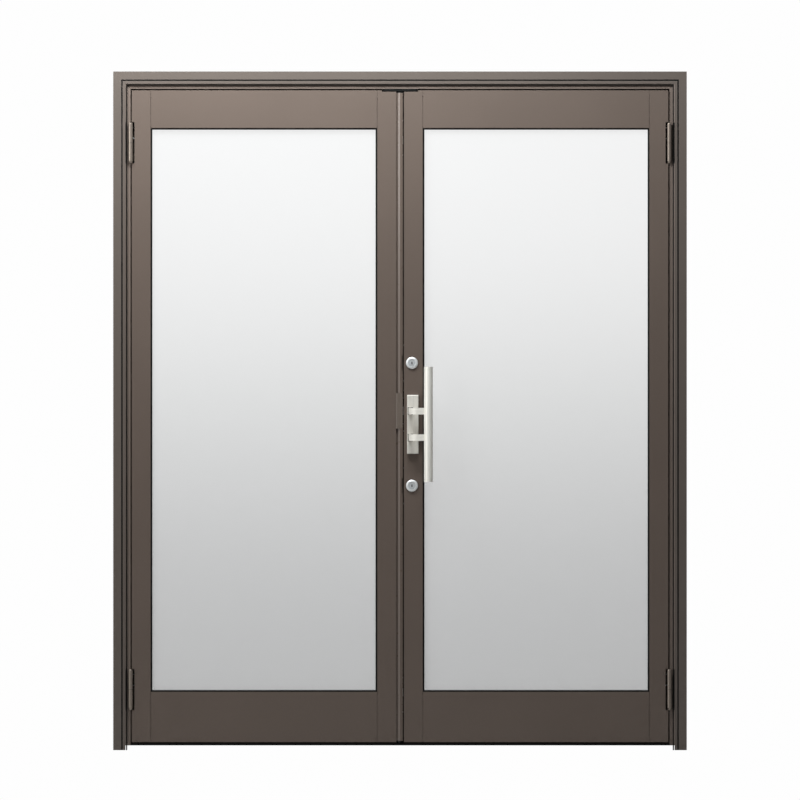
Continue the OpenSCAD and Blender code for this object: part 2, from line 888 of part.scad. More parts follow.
// Four hollow beads: the level ones run full width, the upright ones between them
module glazing_beads() {
    g = glazing_leg;
    for (z = [open_z0 - g, open_z1])
        bead([open_x0 - g, bead_y, z], [open_x1 + g, leaf_y1, z + g], [1, 0, 0]);
    for (x = [open_x0 - g, open_x1])
        bead([x, bead_y, open_z0], [x + g, leaf_y1, open_z1], [0, 0, 1]);
}

// One bead between two corners, hollow along the given direction
module bead(a, b, along) {
    w = bead_wall * ([1, 1, 1] - along);
    difference() {
        block(a, b);
        block(a + w - along, b - w + along);
    }
}

// Blocks the glass stands on, near its lower corners
module setting_blocks() {
    for (x = [open_x0 + block_from_end, open_x1 - block_from_end - block_l])
        block([x, glass_y0, open_z0 - glazing_leg], [x + block_l, glass_y1, open_z0 - glass_bite]);
}

// Screws of a leaf: corner joints and hinge halves
module leaf_screws() {
    for (z = corner_zs) {
        corner_screw(meet_edge + box_w - leaf_wall, z, 1);
        corner_screw(hinge_edge - box_w + leaf_wall, z, -1);
    }
    for (z = hinge_zs, k = [-1, 1])
        translate([hinge_edge + leaf_plate_t, hinge_screw_y, hinge_screw_z(z, 1, k)])
            mirror([1, 0, 0]) pan_screw(0, 0, 0, leaf_hinge_screw_l);
}

// Corner screw whose head seats at x and whose shank runs in direction s
module corner_screw(x, z, s) {
    translate([x, port_y, z]) mirror([s < 0 ? 1 : 0, 0, 0]) {
        round_x(-corner_head_h, 0, 0, 0, corner_head_r);
        round_x(0, corner_screw_l, 0, 0, corner_screw_r);
    }
}

module left_hinge_stile() {
    color("#69615a") left() hinge_stile();
}

module left_meeting_stile() {
    color("#69615a") left() meeting_stile();
}

module left_top_rail() {
    color("#69615a") left() top_rail();
}

module left_bottom_rail() {
    color("#69615a") left() bottom_rail();
}

module left_glass() {
    color("#dfe1e2") left() glass();
}

module left_outer_gasket() {
    color("#26231f") left() outer_gasket();
}

module left_inner_gasket() {
    color("#26231f") left() inner_gasket();
}

module left_glazing_beads() {
    color("#69615a") left() glazing_beads();
}

module left_setting_blocks() {
    color("#2b2b2b") left() setting_blocks();
}

module left_leaf_screws() {
    color("#b9b9b6") left() leaf_screws();
}

module right_hinge_stile() {
    color("#69615a") hinge_stile();
}

// The active leaf's meeting stile also carries the latch, the locks and the handles
module right_meeting_stile() {
    case_y0 = latch_y - case_w / 2;
    case_y1 = latch_y + case_w / 2;
    color("#69615a") difference() {
        meeting_stile();
        block([meet_edge - 1, case_y0 - fit, latch_z - latch_case_h / 2 - face_margin - fit],
              [meet_edge + leaf_wall + eps, case_y1 + fit, latch_z + latch_case_h / 2 + face_margin + fit]);
        for (z = lock_zs) {
            block([meet_edge - 1, case_y0 - fit, z - lock_case_h / 2 - face_margin - fit],
                  [meet_edge + leaf_wall + eps, case_y1 + fit, z + lock_case_h / 2 + face_margin + fit]);
            round_y(leaf_y0 - 1, cylinder_end_y + 1, lock_x, z, cylinder_r + fit);
            round_y(leaf_y1 - leaf_wall - 1, leaf_y1 + 1, lock_x, z, spindle_r + fork_play);
        }
    }
}

module right_top_rail() {
    color("#69615a") top_rail();
}

module right_bottom_rail() {
    color("#69615a") bottom_rail();
}

module right_glass() {
    color("#dfe1e2") glass();
}

module right_outer_gasket() {
    color("#26231f") outer_gasket();
}

module right_inner_gasket() {
    color("#26231f") inner_gasket();
}

module right_glazing_beads() {
    color("#69615a") glazing_beads();
}

module right_setting_blocks() {
    color("#2b2b2b") setting_blocks();
}

module right_leaf_screws() {
    color("#b9b9b6") leaf_screws();
}

// ---------- meeting cover ----------

// Outline of the cover on the left leaf's edge: groove, bevelled shoulder and flat strip
module cover_outline() {
    x1 = cover_x0 + cover_groove_w;
    floor_y = leaf_y0 + cover_groove_d;
    polygon([[cover_x0, floor_y], [x1, floor_y], [x1, leaf_y0], [x1 + shoulder_w, cover_y0],
             [cover_x1, cover_y0], [cover_x1, leaf_y1], [cover_x0, leaf_y1]]);
}

module cover_section() {
    w = cover_wall;
    x1 = cover_x0 + cover_groove_w;
    floor_y = leaf_y0 + cover_groove_d;
    difference() {
        cover_outline();
        rect([cover_x0 + w, floor_y + w], [cover_x1 - w, leaf_y1 - w]);
        rect([x1 + w, leaf_y0 + w], [cover_x1 - w, floor_y + w + eps]);
    }
}

// Window through the cover's edge for a bolt of width w and height h at z
module cover_window(z, w, h) {
    block([cover_x1 - cover_wall - 1, latch_y - w / 2 - window_play, z - h / 2 - window_end_play],
          [cover_x1 + 1, latch_y + w / 2 + window_play, z + h / 2 + window_end_play]);
}

module meeting_cover() {
    color("#69615a") difference() {
        translate([0, 0, cover_z0]) linear_extrude(cover_z1 - cover_z0) cover_section();
        for (z = lock_zs) {
            // window for the deadbolt and the notch that shows at the front edge
            cover_window(z, bolt_w, bolt_h);
            block([cover_x1 - notch_w, cover_y0 - 1, z - notch_h / 2],
                  [cover_x1 + 1, leaf_y0 + notch_d, z + notch_h / 2]);
        }
        // window for the latch and the seat of the strike's flange
        cover_window(latch_z, latch_w, latch_h);
        block([cover_x1 - strike_flange_t, cover_y0 - 1, latch_z - strike_l / 2 - fit],
              [cover_x1 + 1, strike_y1 + fit, latch_z + strike_l / 2 + fit]);
        for (k = [-1, 1])
            round_x(cover_x1 - cover_wall - 1, cover_x1 + 1, latch_y,
                    latch_z + k * strike_screw_step, screw_r + fit);
        // seats and slots of the flush bolts' plates
        for (z = flush_plate_zs) {
            block([cover_x1 - flush_plate_t, rod_y - flush_plate_w / 2 - fit, z - flush_plate_l / 2 - fit],
                  [cover_x1 + 1, rod_y + flush_plate_w / 2 + fit, z + flush_plate_l / 2 + fit]);
            block([cover_x1 - cover_wall - 1, rod_y - lug_w / 2 - eps,
                   z - flush_plate_l / 2 + plate_port_end],
                  [cover_x1 + 1, rod_y + lug_w / 2 + eps, z + flush_plate_l / 2 - plate_port_end]);
        }
        block([flap_slot_x - flap_slot_w / 2, leaf_y1 - cover_wall - eps, flap_z0],
              [flap_slot_x + flap_slot_w / 2, leaf_y1 + 1, flap_z1]);
    }
}

// Caps that close the cover's ends, each bored for its flush bolt
module cover_end_caps() {
    color("#1c1a19") for (z = [cover_z0 - cap_t, cover_z1]) difference() {
        translate([0, 0, z]) linear_extrude(cap_t) cover_outline();
        translate([rod_x, rod_y, z - 1]) cylinder(h = cap_t + 2, r = rod_r + slide_play);
    }
}

// Rubber flap held in a slot of the cover's back wall, lapping behind the right leaf
module meeting_seal() {
    root_y = leaf_y1 - cover_wall;
    back_y = leaf_y1 + seal_touch + flap_t;
    color("#1a1918") translate([0, 0, flap_z0]) linear_extrude(flap_z1 - flap_z0) {
        rect([flap_slot_x - flap_slot_w / 2, root_y], [flap_slot_x + flap_slot_w / 2, leaf_y1]);
        rect([flap_slot_x - flap_slot_w, root_y - flap_root_t], [flap_slot_x + flap_slot_w, root_y]);
        rect([flap_seat_x, leaf_y1], [cover_x1, back_y]);
        rect([cover_x1 - eps, leaf_y1 + seal_touch], [meet_edge + flap_lap, back_y]);
    }
}

// Strike: a lip over the strip and a flange in the gap with the latch's window
module strike_plate() {
    lip_y = cover_y0 - strike_t;
    color("#746c64") difference() {
        translate([0, 0, latch_z - strike_l / 2]) linear_extrude(strike_l) difference() {
            union() {
                polygon([[cover_x0 - strike_lap, cover_y0], [cover_x0 + strike_slope, lip_y],
                         [cover_x1, lip_y], [cover_x1, cover_y0]]);
                rect([cover_x1 - strike_flange_t, lip_y], [cover_x1, strike_y1]);
                rect([cover_x0 - strike_lap, cover_y0 - eps], [cover_x0 + strike_t - strike_lap, leaf_y0]);
            }
            polygon([[cover_x1 - strike_bevel, lip_y - eps], [cover_x1 + eps, lip_y - eps],
                     [cover_x1 + eps, lip_y + strike_bevel]]);
        }
        block([cover_x1 - strike_flange_t - 1, latch_y - latch_w / 2 - strike_play,
               latch_z - latch_h / 2 - strike_play],
              [cover_x1 + 1, latch_y + latch_w / 2 + strike_play, latch_z + latch_h / 2 + strike_play]);
        for (k = [-1, 1])
            round_x(cover_x1 - strike_flange_t - 1, cover_x1 + 1, latch_y,
                    latch_z + k * strike_screw_step, screw_r + fit);
    }
}

// Edge plates of the flush bolts, each with two lugs that guide the rod
module flush_bolt_plates() {
    color("#b4b2ad") for (z = flush_plate_zs) difference() {
        union() {
            block([cover_x1 - flush_plate_t, rod_y - flush_plate_w / 2, z - flush_plate_l / 2],
                  [cover_x1, rod_y + flush_plate_w / 2, z + flush_plate_l / 2]);
            for (k = [-1, 1])
                translate([0, 0, z + k * (flush_plate_l / 2 - lug_from_end)])
                    block([rod_x - rod_r - 2, rod_y - lug_w / 2, -lug_t / 2],
                          [cover_x1 - flush_plate_t + eps, rod_y + lug_w / 2, lug_t / 2]);
        }
        translate([rod_x, rod_y, z - flush_plate_l]) cylinder(h = 2 * flush_plate_l, r = rod_r + fit);
        block([rod_x, rod_y - slider_w / 2 - slide_play, z - flush_slot / 2],
              [cover_x1 + 1, rod_y + slider_w / 2 + slide_play, z + flush_slot / 2]);
    }
}

// Rod with its finger slider; side 1 throws up, side -1 throws down
module flush_bolt(z_end, z_plate, side) {
    slider_z = z_plate - side * flush_throw / 2;
    translate([rod_x, rod_y, side > 0 ? z_end - rod_l : z_end]) cylinder(h = rod_l, r = rod_r);
    block([rod_x, rod_y - slider_w / 2, slider_z - flush_slider_h / 2],
          [cover_x1 + slider_proud, rod_y + slider_w / 2, slider_z + flush_slider_h / 2]);
}

module top_flush_bolt() {
    color("#c9c8c4") flush_bolt(leaf_z1 - rod_head_setback, flush_plate_zs[1], 1);
}

module bottom_flush_bolt() {
    color("#c9c8c4") flush_bolt(leaf_z0 + rod_setback, flush_plate_zs[0], -1);
}

// ---------- latch and locks ----------

// Case let into the stile's edge, with its faceplate; height h at z
module edge_case(h, z) {
    y0 = latch_y - case_w / 2;
    y1 = latch_y + case_w / 2;
    x0 = meet_edge + leaf_wall;
    difference() {
        union() {
            block([meet_edge, y0, z - h / 2 - face_margin], [x0, y1, z + h / 2 + face_margin]);
            block([x0 - eps, y0, z - h / 2], [x0 + case_depth, y1, z + h / 2]);
        }
        block([x0, y0 + case_wall, z - h / 2 + case_wall],
              [x0 + case_depth - case_wall, y1 - case_wall, z + h / 2 - case_wall]);
    }
}

// Window through a faceplate for a bolt of width w and height h at z
module faceplate_window(z, w, h) {
    block([meet_edge - 1, latch_y - w / 2 - bolt_play, z - h / 2 - bolt_play],
          [meet_edge + leaf_wall + 1, latch_y + w / 2 + bolt_play, z + h / 2 + bolt_play]);
}

module latch_case() {
    color("#a9a7a2") difference() {
        edge_case(latch_case_h, latch_z);
        faceplate_window(latch_z, latch_w, latch_h);
    }
}

module lock_cases() {
    color("#a9a7a2") for (z = lock_zs) difference() {
        edge_case(lock_case_h, z);
        faceplate_window(z, bolt_w, bolt_h);
        round_y(latch_y, leaf_y1, lock_x, z, spindle_r + spindle_play);
        round_y(leaf_y0, latch_y, lock_x, z, plug_r + spindle_play);
    }
}

// Latch bolt with its bevel towards the inside, and its tail in the case
module latch_bolt() {
    tip = meet_edge - latch_throw;
    shoulder_x = meet_edge + leaf_wall + latch_guide;
    y0 = latch_y - latch_w / 2;
    y1 = latch_y + latch_w / 2;
    color("#cfcdc8") {
        translate([0, 0, latch_z - latch_h / 2]) linear_extrude(latch_h)
            polygon([[shoulder_x, y0], [tip, y0], [tip, y0 + latch_nose],
                     [meet_edge - 1, y1], [shoulder_x, y1]]);
        block([shoulder_x - eps, latch_y - latch_tail_w / 2, latch_z - latch_tail_h / 2],
              [shoulder_x + latch_tail_l, latch_y + latch_tail_w / 2, latch_z + latch_tail_h / 2]);
    }
}

// Deadbolt, forked at the back so that it clears the spindle
module deadbolt(z) {
    x0 = meet_edge + bolt_setback;
    x1 = meet_edge + leaf_wall + case_depth - case_wall - window_play;
    slot_r = spindle_r + fork_play;
    difference() {
        block([x0, latch_y - bolt_w / 2, z - bolt_h / 2], [x1, latch_y + bolt_w / 2, z + bolt_h / 2]);
        block([lock_x - slot_r, latch_y - bolt_w, z - slot_r],
              [lock_x + slot_r + deadbolt_throw, latch_y + bolt_w, z + slot_r]);
    }
}

module upper_deadbolt() {
    color("#cfcdc8") deadbolt(lock_zs[0]);
}

module lower_deadbolt() {
    color("#cfcdc8") deadbolt(lock_zs[1]);
}

// Cylinder bodies through the outside face into the cases
module lock_cylinders() {
    color("#c3c6ca") for (z = lock_zs) difference() {
        round_y(leaf_y0 - ring_h + cylinder_setback, cylinder_end_y, lock_x, z, cylinder_r);
        round_y(leaf_y0 - ring_h - 1, cylinder_end_y + 1, lock_x, z, plug_r + fit);
    }
}

// Domed guard rings outside and the turns' roses inside
module lock_escutcheons() {
    bore = cylinder_r + fit;
    dome = [for (i = [0:8]) let (a = i * 90 / 8)
            [bore + (ring_r - bore) * cos(a), ring_rim + (ring_h - ring_rim) * sin(a)]];
    color("#c3c6ca") for (z = lock_zs) {
        translate([lock_x, leaf_y0, z]) rotate([90, 0, 0]) rotate_extrude()
            polygon(concat([[bore, 0], [ring_r, 0]], dome));
        translate([lock_x, leaf_y1, z]) rotate([-90, 0, 0]) rotate_extrude()
            polygon([[rose_bore, 0], [rose_r, 0], [rose_r, rose_h - rose_bevel],
                     [rose_r - rose_bevel, rose_h], [rose_bore, rose_h]]);
    }
}

// Key plug with its keyway and the flat tail that drives the spindle
module key_plug(z) {
    difference() {
        union() {
            round_y(leaf_y0 - ring_h + plug_setback, cylinder_end_y, lock_x, z, plug_r);
            round_y(cylinder_end_y - eps, latch_y, lock_x, z, spindle_r);
        }
        block([lock_x - keyway_w / 2, leaf_y0 - ring_h - 1, z - keyway_l / 2],
              [lock_x + keyway_w / 2, leaf_y0 + keyway_d, z + keyway_l / 2]);
    }
}

module upper_key_plug() {
    color("#b9bdc2") key_plug(lock_zs[0]);
}

module lower_key_plug() {
    color("#b9bdc2") key_plug(lock_zs[1]);
}

// Thumb turn: spindle, collar and an oval grip
module thumb_turn(z) {
    collar_y = leaf_y1 + rose_h + bolt_play;
    grip_y = collar_y + collar_h;
    round_y(latch_y, grip_y, lock_x, z, spindle_r);
    round_y(collar_y, grip_y, lock_x, z, turn_collar_r);
    translate([lock_x, grip_y - eps, z]) rotate([-90, 0, 0]) linear_extrude(grip_d) {
        square([grip_w, grip_h - grip_w], center = true);
        for (k = [-1, 1]) translate([0, k * (grip_h - grip_w) / 2]) circle(r = grip_w / 2);
    }
}

module upper_thumb_turn() {
    color("#b9b7b2") thumb_turn(lock_zs[0]);
}

module lower_thumb_turn() {
    color("#b9b7b2") thumb_turn(lock_zs[1]);
}

// ---------- push-pull handles ----------

// Plate with bevelled edges, slots for the arms and a bore for their shaft
module handle_plate() {
    x1 = plate_x0 + plate_w;
    y0 = leaf_y0 - plate_t;
    b = plate_bevel;
    z0 = handle_z - plate_h / 2;
    z1 = handle_z + plate_h / 2;
    difference() {
        intersection() {
            translate([0, 0, z0]) linear_extrude(plate_h)
                polygon([[plate_x0, leaf_y0], [plate_x0, y0 + b], [plate_x0 + b, y0],
                         [x1 - b, y0], [x1, y0 + b], [x1, leaf_y0]]);
            translate([plate_x0 - 1, 0, 0]) rotate([90, 0, 90]) linear_extrude(plate_w + 2)
                polygon([[leaf_y0, z0], [y0 + b, z0], [y0, z0 + b],
                         [y0, z1 - b], [y0 + b, z1], [leaf_y0, z1]]);
        }
        for (k = [-1, 1])
            block([pivot_x - arm_t / 2 - slot_left, y0 - 1, handle_z + k * arm_span / 2 - slot_h / 2],
                  [pivot_x + arm_t / 2 + slot_right, leaf_y0 - slot_floor,
                   handle_z + k * arm_span / 2 + slot_h / 2]);
        translate([pivot_x, pivot_y, handle_z - shaft_l / 2 - fit])
            cylinder(h = shaft_l + 2 * fit, r = shaft_r + fit);
    }
}

// Two elbow arms on one shaft, seated on the side of the bar
module handle_arms() {
    turn_x = pivot_x + elbow_r;
    turn_y = bar_cy + elbow_r;
    difference() {
        union() {
            translate([pivot_x, pivot_y, handle_z - shaft_l / 2]) cylinder(h = shaft_l, r = shaft_r);
            for (k = [-1, 1])
                translate([0, 0, handle_z + k * arm_span / 2 - arm_h / 2]) linear_extrude(arm_h) {
                    translate([pivot_x, pivot_y]) circle(r = arm_t / 2);
                    rect([pivot_x - arm_t / 2, turn_y], [pivot_x + arm_t / 2, pivot_y]);
                    intersection() {
                        translate([turn_x, turn_y]) difference() {
                            circle(r = elbow_r + arm_t / 2);
                            circle(r = elbow_r - arm_t / 2);
                        }
                        rect([turn_x - 2 * elbow_r, turn_y - 2 * elbow_r], [turn_x, turn_y]);
                    }
                    rect([turn_x - eps, bar_cy - arm_t / 2], [bar_cx, bar_cy + arm_t / 2]);
                }
        }
        translate([bar_cx, bar_cy, handle_z - bar_l / 2]) cylinder(h = bar_l, r = bar_r + fit);
    }
}

// Tubular bar with a plug in each end, set off by a fine joint
module handle_bar() {
    z0 = handle_z - bar_l / 2;
    translate([bar_cx, bar_cy, z0 + bar_cap_h]) difference() {
        cylinder(h = bar_l - 2 * bar_cap_h, r = bar_r);
        translate([0, 0, -1]) cylinder(h = bar_l, r = bar_r - bar_wall);
    }
    for (s = [0, 1]) translate([bar_cx, bar_cy, handle_z]) mirror([0, 0, s])
        translate([0, 0, -bar_l / 2]) {
            cylinder(h = bar_cap_h - bar_joint, r = bar_r);
            cylinder(h = bar_cap_h + bar_plug_l, r = bar_r - bar_wall);
        }
}

module outside_handle_plate() {
    color("#b3afa9") handle_plate();
}

module inside_handle_plate() {
    color("#b3afa9") inside() handle_plate();
}

module outside_handle_arms() {
    color("#c9c6c0") handle_arms();
}

module outside_handle_bar() {
    color("#dad7ce") handle_bar();
}

module inside_handle_arms() {
    color("#c9c6c0") inside() handle_arms();
}

module inside_handle_bar() {
    color("#dad7ce") inside() handle_bar();
}

left_casing_jamb();
right_casing_jamb();
casing_head();
left_rebate_jamb();
right_rebate_jamb();
rebate_head();
sill();
frame_seal();
casing_cleats();
frame_screws();
head_keeper();
sill_keeper();
frame_hinge_halves();
hinge_pins();
left_hinge_stile();
left_meeting_stile();
left_top_rail();
left_bottom_rail();
left_glass();
left_outer_gasket();
left_inner_gasket();
left_glazing_beads();
left_setting_blocks();
left_leaf_screws();
left_hinge_halves();
meeting_cover();
cover_end_caps();
meeting_seal();
strike_plate();
flush_bolt_plates();
top_flush_bolt();
bottom_flush_bolt();
right_hinge_stile();
right_meeting_stile();
right_top_rail();
right_bottom_rail();
right_glass();
right_outer_gasket();
right_inner_gasket();
right_glazing_beads();
right_setting_blocks();
right_leaf_screws();
right_hinge_halves();
outside_handle_plate();
inside_handle_plate();
outside_handle_arms();
outside_handle_bar();
inside_handle_arms();
inside_handle_bar();
latch_case();
latch_bolt();
lock_cases();
lock_cylinders();
lock_escutcheons();
upper_deadbolt();
lower_deadbolt();
upper_key_plug();
lower_key_plug();
upper_thumb_turn();
lower_thumb_turn();
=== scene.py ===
import json
import math

import bpy
import bmesh
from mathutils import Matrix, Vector

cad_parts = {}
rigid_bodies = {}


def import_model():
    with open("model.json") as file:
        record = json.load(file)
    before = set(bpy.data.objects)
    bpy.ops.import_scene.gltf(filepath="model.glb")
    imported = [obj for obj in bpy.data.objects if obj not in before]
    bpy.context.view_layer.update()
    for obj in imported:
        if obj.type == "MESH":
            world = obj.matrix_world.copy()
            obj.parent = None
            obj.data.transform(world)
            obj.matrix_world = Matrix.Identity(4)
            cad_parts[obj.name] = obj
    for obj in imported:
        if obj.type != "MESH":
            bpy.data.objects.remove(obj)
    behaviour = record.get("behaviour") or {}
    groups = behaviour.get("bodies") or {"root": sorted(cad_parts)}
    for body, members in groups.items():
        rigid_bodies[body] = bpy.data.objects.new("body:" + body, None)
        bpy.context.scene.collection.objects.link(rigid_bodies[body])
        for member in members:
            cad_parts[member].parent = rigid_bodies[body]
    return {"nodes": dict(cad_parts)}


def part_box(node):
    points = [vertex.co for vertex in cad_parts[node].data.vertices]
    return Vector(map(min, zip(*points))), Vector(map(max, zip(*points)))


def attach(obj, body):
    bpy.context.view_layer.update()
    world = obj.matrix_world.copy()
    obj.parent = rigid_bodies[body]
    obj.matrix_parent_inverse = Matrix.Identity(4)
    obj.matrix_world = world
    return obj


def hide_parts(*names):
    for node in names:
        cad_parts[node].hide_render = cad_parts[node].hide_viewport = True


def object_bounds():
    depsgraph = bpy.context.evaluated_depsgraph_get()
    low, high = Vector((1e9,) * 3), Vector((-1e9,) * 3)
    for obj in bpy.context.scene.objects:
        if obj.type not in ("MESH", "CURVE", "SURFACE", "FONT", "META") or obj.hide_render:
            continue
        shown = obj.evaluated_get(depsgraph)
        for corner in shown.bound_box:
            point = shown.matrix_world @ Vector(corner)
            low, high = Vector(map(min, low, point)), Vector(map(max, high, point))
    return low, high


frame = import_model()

cad_low, cad_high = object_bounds()
nodes = frame["nodes"]
scene = bpy.context.scene


# ---------------------------------------------------------------- studio
# A square-on view of the outside. A soft lamp above the head lets its light fall away down the door;
# a tall one at the left serves the metals, a small one near it the upright bevels, and a broad one
# behind lights the inside face. The room gives a low, even fill.

view_width = 2.36
view_centre_z = 1.0189
camera_data = bpy.data.cameras.new("camera")
camera_data.type = "ORTHO"
camera_data.ortho_scale = view_width
camera_data.clip_end = 60
camera = bpy.data.objects.new("camera", camera_data)
camera.location = (0, -9, view_centre_z)
camera.rotation_euler = (math.pi / 2, 0, 0)
scene.collection.objects.link(camera)
scene.camera = camera
scene.view_settings.view_transform = "Standard"


def soft_lamp(name, place, target, size, power, tint=(1, 1, 1)):
    """A rectangular area lamp at place, turned towards target."""
    data = bpy.data.lights.new(name, "AREA")
    data.shape = "RECTANGLE"
    data.size, data.size_y = size
    data.energy = power
    data.color = tint
    lamp = bpy.data.objects.new(name, data)
    lamp.location = place
    lamp.rotation_euler = (Vector(target) - Vector(place)).to_track_quat("-Z", "Y").to_euler()
    scene.collection.objects.link(lamp)


soft_lamp("head_lamp", (-0.52, -0.94, 2.93), (-0.2, 0, 1.9), (2.2, 0.5), 80, (0.95, 1.0, 1.01))
soft_lamp("side_lamp", (-5.2, -4.5, 1.3), (0, 0, 1.0), (1.2, 3.4), 66, (1.0, 0.98, 0.965))
soft_lamp("edge_lamp", (-1.86, -1.21, 1.82), (0, 0, 1.82), (0.35, 0.55), 6, (1.0, 0.99, 0.97))
soft_lamp("back_lamp", (0, 7.0, 4.2), (0, 0, 0.9), (5.0, 3.0), 420)

room_fill = (0.111, 0.108, 0.107, 1)
backdrop_white = (0.99, 0.99, 0.99, 1)
room = bpy.data.worlds.new("room")
room.use_nodes = True
scene.world = room
tree = room.node_tree
ray = tree.nodes.new("ShaderNodeLightPath")
shade = tree.nodes.new("ShaderNodeMix")
shade.data_type = "RGBA"
shade.inputs["A"].default_value = room_fill
shade.inputs["B"].default_value = backdrop_white
tree.links.new(ray.outputs["Is Camera Ray"], shade.inputs["Factor"])
tree.links.new(shade.outputs["Result"], tree.nodes["Background"].inputs["Color"])

floor_size = 30
floor_drop = 0.0005
bm = bmesh.new()
bmesh.ops.create_grid(bm, x_segments=1, y_segments=1, size=floor_size / 2)
bmesh.ops.translate(bm, vec=(0, 0, cad_low[2] - floor_drop), verts=bm.verts)
floor_mesh = bpy.data.meshes.new("floor")
bm.to_mesh(floor_mesh)
bm.free()
floor = bpy.data.objects.new("floor", floor_mesh)
scene.collection.objects.link(floor)


def new_material(name):
    """An empty node material: itself, its tree, and its Principled shader."""
    made = bpy.data.materials.new(name)
    made.use_nodes = True
    return made, made.node_tree, made.node_tree.nodes["Principled BSDF"]


pale, pale_tree, pale_shader = new_material("pale_floor")
pale_shader.inputs["Base Color"].default_value = (0.62, 0.62, 0.61, 1)
pale_shader.inputs["Roughness"].default_value = 0.7
floor.data.materials.append(pale)


# ---------------------------------------------------------------- outer casing
# Three lengths of extruded aluminium tube with a shadow groove down the face, mitred at the top
# corners over press-in brackets. Baked with a bronze grey paint that holds fine metal flake; faint
# die lines from the extruding run along each length under the paint.

def wire(tree, from_socket, to_socket):
    tree.links.new(from_socket, to_socket)


def object_noise(tree, scale, detail=2.0, stretch=(1, 1, 1)):
    """Noise over the object's own coordinates, with the scale along each axis multiplied by stretch."""
    place = tree.nodes.new("ShaderNodeTexCoord")
    mapping = tree.nodes.new("ShaderNodeMapping")
    mapping.inputs["Scale"].default_value = stretch
    noise = tree.nodes.new("ShaderNodeTexNoise")
    noise.inputs["Scale"].default_value = scale
    noise.inputs["Detail"].default_value = detail
    wire(tree, place.outputs["Object"], mapping.inputs["Vector"])
    wire(tree, mapping.outputs["Vector"], noise.inputs["Vector"])
    return noise.outputs["Fac"]


def blend_colours(tree, factor, first, second, low=0.35, high=0.65):
    """Colour that runs from first to second as the factor goes from low to high."""
    ramp = tree.nodes.new("ShaderNodeValToRGB")
    for element, position, colour in zip(ramp.color_ramp.elements, (low, high), (first, second)):
        element.position = position
        element.color = (*colour, 1)
    wire(tree, factor, ramp.inputs["Fac"])
    return ramp.outputs["Color"]


def remap(tree, factor, low, high):
    """Number that runs from low to high with the factor."""
    node = tree.nodes.new("ShaderNodeMapRange")
    node.inputs["To Min"].default_value = low
    node.inputs["To Max"].default_value = high
    wire(tree, factor, node.inputs["Value"])
    return node.outputs["Result"]


def bump(tree, height, distance, strength, below=None):
    """Normal bent by a height, over another bump's normal if given."""
    node = tree.nodes.new("ShaderNodeBump")
    node.inputs["Distance"].default_value = distance
    node.inputs["Strength"].default_value = strength
    wire(tree, height, node.inputs["Height"])
    if below:
        wire(tree, below, node.inputs["Normal"])
    return node.outputs["Normal"]


def scaled(colour, factor):
    return tuple(min(channel * factor, 1) for channel in colour)


upright_lines = (1, 1, 0.004)
level_lines = (0.004, 1, 1)


flake_scale, flake_detail = 1600, 2
cloud_scale, cloud_floor = 5, 0.96
gloss_patch_scale, gloss_spread = 90, 0.05
die_line_scale, die_line_depth = 260, 0.00004
peel_scale, peel_depth = 700, 0.00003


def flake_paint(name, colour, lines, roughness=0.42, sparkle=0.10, metallic=0.0):
    """Baked metallic paint: flake, faint cloudiness, orange peel, and die lines along the length."""
    made, tree, shader = new_material(name)
    flake = object_noise(tree, flake_scale, flake_detail)
    fine = blend_colours(tree, flake, scaled(colour, 1 - sparkle), scaled(colour, 1 + sparkle))
    mix = tree.nodes.new("ShaderNodeMix")
    mix.data_type = "RGBA"
    mix.blend_type = "MULTIPLY"
    mix.inputs["Factor"].default_value = 1.0
    wire(tree, fine, mix.inputs["A"])
    cloud = object_noise(tree, cloud_scale, 3)
    wire(tree, blend_colours(tree, cloud, (cloud_floor,) * 3, (1, 1, 1)), mix.inputs["B"])
    wire(tree, mix.outputs["Result"], shader.inputs["Base Color"])
    patch = object_noise(tree, gloss_patch_scale, 3)
    wire(tree, remap(tree, patch, roughness - gloss_spread, roughness + gloss_spread),
         shader.inputs["Roughness"])
    drawn = bump(tree, object_noise(tree, die_line_scale, 2, lines), die_line_depth, 0.35)
    peeled = bump(tree, object_noise(tree, peel_scale, 2), peel_depth, 0.4, drawn)
    wire(tree, peeled, shader.inputs["Normal"])
    shader.inputs["Metallic"].default_value = metallic
    return made


def finish(material, *names):
    """Gives the named pieces of the frame their material."""
    for name in names:
        mesh = nodes[name].data
        mesh.materials.clear()
        mesh.materials.append(material)


casing_bronze = (0.104, 0.084, 0.0725)
finish(flake_paint("casing_paint_upright", casing_bronze, upright_lines),
       "left_casing_jamb", "right_casing_jamb")
finish(flake_paint("casing_paint_level", casing_bronze, level_lines), "casing_head")


# ---------------------------------------------------------------- rebate profiles
# The inner profile that the leaves shut against: bevelled lip, deep groove, set back band and the
# door stop. Same extrusion and paint as the casing, screwed to it and mitred at the top corners; its
# colour is a lighter copy of the casing's, painted light that lifts the set-back band out of its shade.

# painted light: lighter than the casing's colour, to lift the set-back band out of its shade
rebate_bronze_painted_light = (0.150, 0.115, 0.0965)
finish(flake_paint("rebate_paint_upright", rebate_bronze_painted_light, upright_lines),
       "left_rebate_jamb", "right_rebate_jamb")
finish(flake_paint("rebate_paint_level", rebate_bronze_painted_light, level_lines), "rebate_head")


# ---------------------------------------------------------------- corner brackets
# Extruded aluminium angles, left unpainted, pressed inside the two top corners of the casing.

def brushed(name, colour, roughness, lines, metallic=1.0, grain=900, depth=0.00002):
    """Metal whose hairline finish is drawn out along one axis."""
    made, tree, shader = new_material(name)
    line = object_noise(tree, grain, 3, lines)
    wire(tree, blend_colours(tree, line, scaled(colour, 0.92), scaled(colour, 1.06)),
         shader.inputs["Base Color"])
    wire(tree, remap(tree, line, roughness - 0.06, roughness + 0.06), shader.inputs["Roughness"])
    wire(tree, bump(tree, line, depth, 0.5), shader.inputs["Normal"])
    shader.inputs["Metallic"].default_value = metallic
    return made


mill_aluminium = brushed("mill_aluminium", (0.66, 0.66, 0.65), 0.45, (1, 0.02, 1))
finish(mill_aluminium, "casing_cleats")
